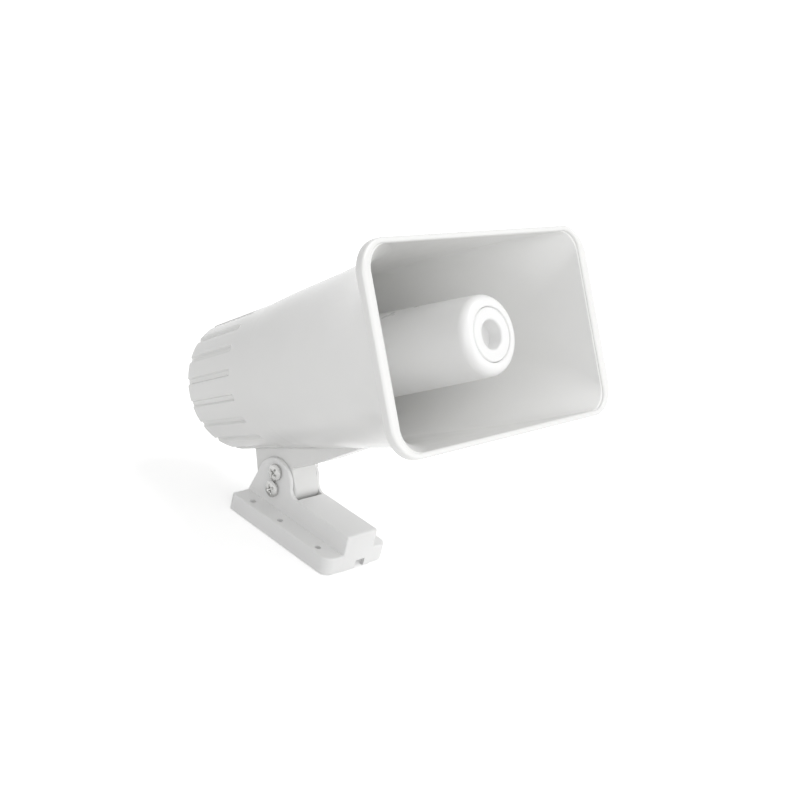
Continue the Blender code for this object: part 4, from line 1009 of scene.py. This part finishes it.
class HORN_OT_cover(bpy.types.Operator):
    """Build the round rear cover with its four screws and the cable grommet"""
    bl_idname = "horn.cover"
    bl_label = "Rear cover"

    def execute(self, context):
        sizes = settings().cover
        inside = settings().inside
        rear = -settings().horn.housing_end
        thick = sizes.thickness
        radius = inside.cover_radius
        profile = [(0.0, thick), (radius - 0.0003, thick), (radius, thick - 0.0003)]
        profile += bend(radius - sizes.edge, sizes.edge, sizes.edge, sizes.edge, 6, 0.0, -90.0).tolist()
        step = radius - sizes.rim_width
        profile += [(step, 0.0), (step - 0.0005, 0.0001), (step - 0.0007, sizes.rim_height),
                    (0.0, sizes.rim_height)]
        points = lathe(profile, 192)
        points[..., 2] += rear
        made = add_surface("cover_disc", points)
        centres = [(sizes.circle * math.cos(a), sizes.circle * math.sin(a)) for a in np.arange(4) * 0.5 * np.pi]
        shank = sizes.screw_radius + inside.seat
        through = (rear - OVERCUT, rear + thick + OVERCUT)
        cuts = [drums(centres, shank, *through),
                drums([(0.0, -sizes.grommet_drop)], sizes.grommet_radius + inside.seat, *through, columns=64)]
        made = shaped(made, *[("DIFFERENCE", cut) for cut in cuts])
        move_to_row(made)
        plastic = moulded("cover_plastic", settings().finishes.shell, 0.36)
        carry(made, HEAD, "bell_plastic", plastic, "rear_cover")
        self.add_screws(centres, rear)
        self.add_grommet(rear)
        return {"FINISHED"}

    def add_screws(self, centres, rear):
        """Four small pan-head screws whose heads stand on the cover."""
        sizes = settings().cover
        seat = settings().inside.seat
        local = screw_surface(sizes.screw_length, sizes.screw_radius, sizes.head_radius, sizes.head_height)
        for number, (x, y) in enumerate(centres, start=1):
            turned = np.roll(turned_about_x(local, 0.4 + 0.9 * number), -1, -1)
            points = turned + np.array([x, y, rear - seat])
            made = add_surface(f"cover_pan_head_{number}", to_row(points), sharp=28.0)
            carry(made, HEAD, "zinc_steel", bpy.data.materials["screw_plate"], f"cover_screw_{number}")

    def add_grommet(self, rear):
        """The rubber grommet: a lathe profile with a domed outer lip, a waist in the cover and an inner lip."""
        sizes = settings().cover
        seat = settings().inside.seat
        lip = sizes.grommet_lip_thickness
        inner = sizes.thickness + seat
        out = -seat
        profile = [(sizes.grommet_bore, out - lip + 0.0004), (sizes.grommet_bore + 0.0004, out - lip)]
        profile += bend(0.66 * sizes.grommet_lip, out - 0.4 * lip, 0.34 * sizes.grommet_lip, 0.6 * lip, 10,
                        -90.0, 0.0).tolist()
        profile += [(sizes.grommet_lip, out), (sizes.grommet_radius, out), (sizes.grommet_radius, inner),
                    (sizes.grommet_lip, inner), (sizes.grommet_lip, inner + 0.6 * lip),
                    (sizes.grommet_lip - 0.0006, inner + lip), (sizes.grommet_bore, inner + lip)]
        points = lathe(profile, 72)
        points[..., 1] -= sizes.grommet_drop
        points[..., 2] += rear
        made = add_surface("grommet_ring", to_row(points), wrap_rows=True)
        rubber = rubbery("rubber", settings().finishes.dark, 0.72)
        carry(made, HEAD, "gasket_rubber", rubber, "cable_grommet")


class HORN_OT_plain_pieces(bpy.types.Operator):
    """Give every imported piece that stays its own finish"""
    bl_idname = "horn.plain_pieces"
    bl_label = "Packed pieces"

    def execute(self, context):
        colours = settings().finishes
        inner = moulded("inner_plastic", tuple(0.9 * c for c in colours.shell), 0.42)
        black = rubbery("black_plastic", (0.035, 0.035, 0.037), 0.45)
        rubber = bpy.data.materials["rubber"]
        ferrite = rubbery("ferrite", (0.055, 0.055, 0.060), 0.62)
        film = rubbery("diaphragm_film", (0.50, 0.33, 0.16), 0.45)
        board = rubbery("board", (0.42, 0.27, 0.10), 0.55)
        steel = bpy.data.materials["screw_plate"]
        plate = plated("plate_steel", (0.58, 0.58, 0.57), 0.34)
        copper = plated("coil_wire", (0.72, 0.36, 0.15), 0.32)
        brass = plated("tinned_brass", (0.70, 0.66, 0.55), 0.30)
        table = {"throat_tube": inner, "phase_plug": inner,
                 "throat_gasket": rubber, "cover_gasket": rubber, "magnet": ferrite,
                 "diaphragm": film, "voice_coil": copper, "diaphragm_clamp_ring": black, "top_plate": plate,
                 "back_plate_with_pole": plate, "terminal_board": board, "terminal_tab_1": brass,
                 "terminal_tab_2": brass}
        for name, node in frame["nodes"].items():
            if node.hide_render:
                continue
            node.data.materials.clear()
            node.data.materials.append(table.get(name, steel))
        return {"FINISHED"}


class HORN_OT_stage(bpy.types.Operator):
    """Build the floor, the lights, the pale surroundings and the camera"""
    bl_idname = "horn.stage"
    bl_label = "Studio"

    def execute(self, context):
        scene = context.scene
        mesh = bpy.data.meshes.new("studio_floor")
        turns = ((-1, -1), (1, -1), (1, 1), (-1, 1))
        corners = [(x * FLOOR_HALF, y * FLOOR_HALF, -FLOOR_DROP) for x, y in turns]
        mesh.from_pydata(corners, [], [(0, 1, 2, 3)])
        floor = bpy.data.objects.new("studio_floor", mesh)
        scene.collection.objects.link(floor)
        floor.data.materials.append(floor_material())
        world = scene.world or bpy.data.worlds.new("surroundings")
        scene.world = world
        fill_world(world)
        for lamp in LAMPS:
            add_sun(*lamp)
        add_camera(scene)
        scene.view_settings.view_transform = "Standard"
        return {"FINISHED"}


def direct_share(tree):
    """1 where the camera, a reflection or a clear body looks: the largest of Light Path's outputs."""
    path = tree.nodes.new("ShaderNodeLightPath")
    share = path.outputs[DIRECT_RAYS[0]]
    for kind in DIRECT_RAYS[1:]:
        most = tree.nodes.new("ShaderNodeMath")
        most.operation = "MAXIMUM"
        tree.links.new(share, most.inputs[0])
        tree.links.new(path.outputs[kind], most.inputs[1])
        share = most.outputs[0]
    return share


def floor_material():
    """A white floor that shows a soft shadow: its own diffuse shade plus a plain white share."""
    made = bpy.data.materials.new("studio_floor")
    made.use_nodes = True
    tree = made.node_tree
    tree.nodes.remove(tree.nodes["Principled BSDF"])
    diffuse = tree.nodes.new("ShaderNodeBsdfDiffuse")
    diffuse.inputs["Color"].default_value = (*settings().finishes.floor, 1.0)
    glow = tree.nodes.new("ShaderNodeEmission")
    glow.inputs["Color"].default_value = (1.0, 1.0, 1.0, 1.0)
    tree.links.new(spread(tree, direct_share(tree), 0.0, FLOOR_GLOW, 0.0, 1.0), glow.inputs["Strength"])
    both = tree.nodes.new("ShaderNodeAddShader")
    tree.links.new(diffuse.outputs[0], both.inputs[0])
    tree.links.new(glow.outputs[0], both.inputs[1])
    tree.links.new(both.outputs[0], tree.nodes["Material Output"].inputs["Surface"])
    return made


def fill_world(world):
    """Even pale surroundings: white where the camera or a reflection looks, a soft fill elsewhere."""
    world.use_nodes = True
    tree = world.node_tree
    ground = tree.nodes["Background"]
    ground.inputs["Color"].default_value = (1.0, 1.0, 1.0, 1.0)
    tree.links.new(spread(tree, direct_share(tree), FILL_LEVEL, 1.0, 0.0, 1.0), ground.inputs["Strength"])


def add_sun(name, towards, strength, spread_degrees):
    """A wide soft light from a direction."""
    lamp = bpy.data.lights.new(name, "SUN")
    lamp.energy = strength
    lamp.angle = math.radians(spread_degrees)
    made = bpy.data.objects.new(name, lamp)
    bpy.context.scene.collection.objects.link(made)
    made.rotation_euler = Vector(towards).to_track_quat("Z", "Y").to_euler()


def add_camera(scene):
    """The camera at the photograph's own place, turn and field of view."""
    lens = bpy.data.cameras.new("camera")
    lens.sensor_width = 36.0
    lens.lens = CAMERA_LENS
    made = bpy.data.objects.new("camera", lens)
    scene.collection.objects.link(made)
    columns = [CAMERA_RIGHT, [-d for d in CAMERA_DOWN], [-a for a in CAMERA_AHEAD], CAMERA_PLACE]
    rows = [[column[k] for column in columns] for k in range(3)] + [[0.0, 0.0, 0.0, 1.0]]
    made.matrix_world = Matrix(rows)
    scene.camera = made


# ================================================================ panel and registration
class HornLooks(bpy.types.PropertyGroup):
    """All the sizes and finishes of the horn's looks."""
    horn: PointerProperty(type=HornSizes)
    inside: PointerProperty(type=InsideSizes)
    foot: PointerProperty(type=FootSizes)
    bracket: PointerProperty(type=BracketSizes)
    cover: PointerProperty(type=CoverSizes)
    finishes: PointerProperty(type=Finishes)


STEPS = (HORN_OT_shell, HORN_OT_foot, HORN_OT_bullet, HORN_OT_bracket, HORN_OT_tilt_screws, HORN_OT_tilt_nuts,
         HORN_OT_cover, HORN_OT_plain_pieces, HORN_OT_stage)


class HORN_PT_panel(bpy.types.Panel):
    """Sizes, colours and building steps"""
    bl_idname = "HORN_PT_panel"
    bl_label = "Reflex horn"
    bl_space_type = "VIEW_3D"
    bl_region_type = "UI"
    bl_category = "Horn"

    def draw(self, context):
        layout = self.layout
        looks = context.scene.horn_looks
        for group in (looks.horn, looks.inside, looks.foot, looks.bracket, looks.cover, looks.finishes):
            box = layout.box()
            for key in group.__annotations__:
                box.prop(group, key)
        for step in STEPS:
            layout.operator(step.bl_idname)


CLASSES = (HornSizes, InsideSizes, FootSizes, BracketSizes, CoverSizes, Finishes, HornLooks, *STEPS,
           HORN_PT_panel)


def register():
    """Register the classes and hang the settings on the scene."""
    for one in CLASSES:
        bpy.utils.register_class(one)
    bpy.types.Scene.horn_looks = PointerProperty(type=HornLooks)


def unregister():
    """Take the settings and the classes away again."""
    del bpy.types.Scene.horn_looks
    for one in reversed(CLASSES):
        bpy.utils.unregister_class(one)


def main():
    register()
    for step in STEPS:
        group, name = step.bl_idname.split(".")
        getattr(getattr(bpy.ops, group), name)()


if __name__ == "__main__":
    main()
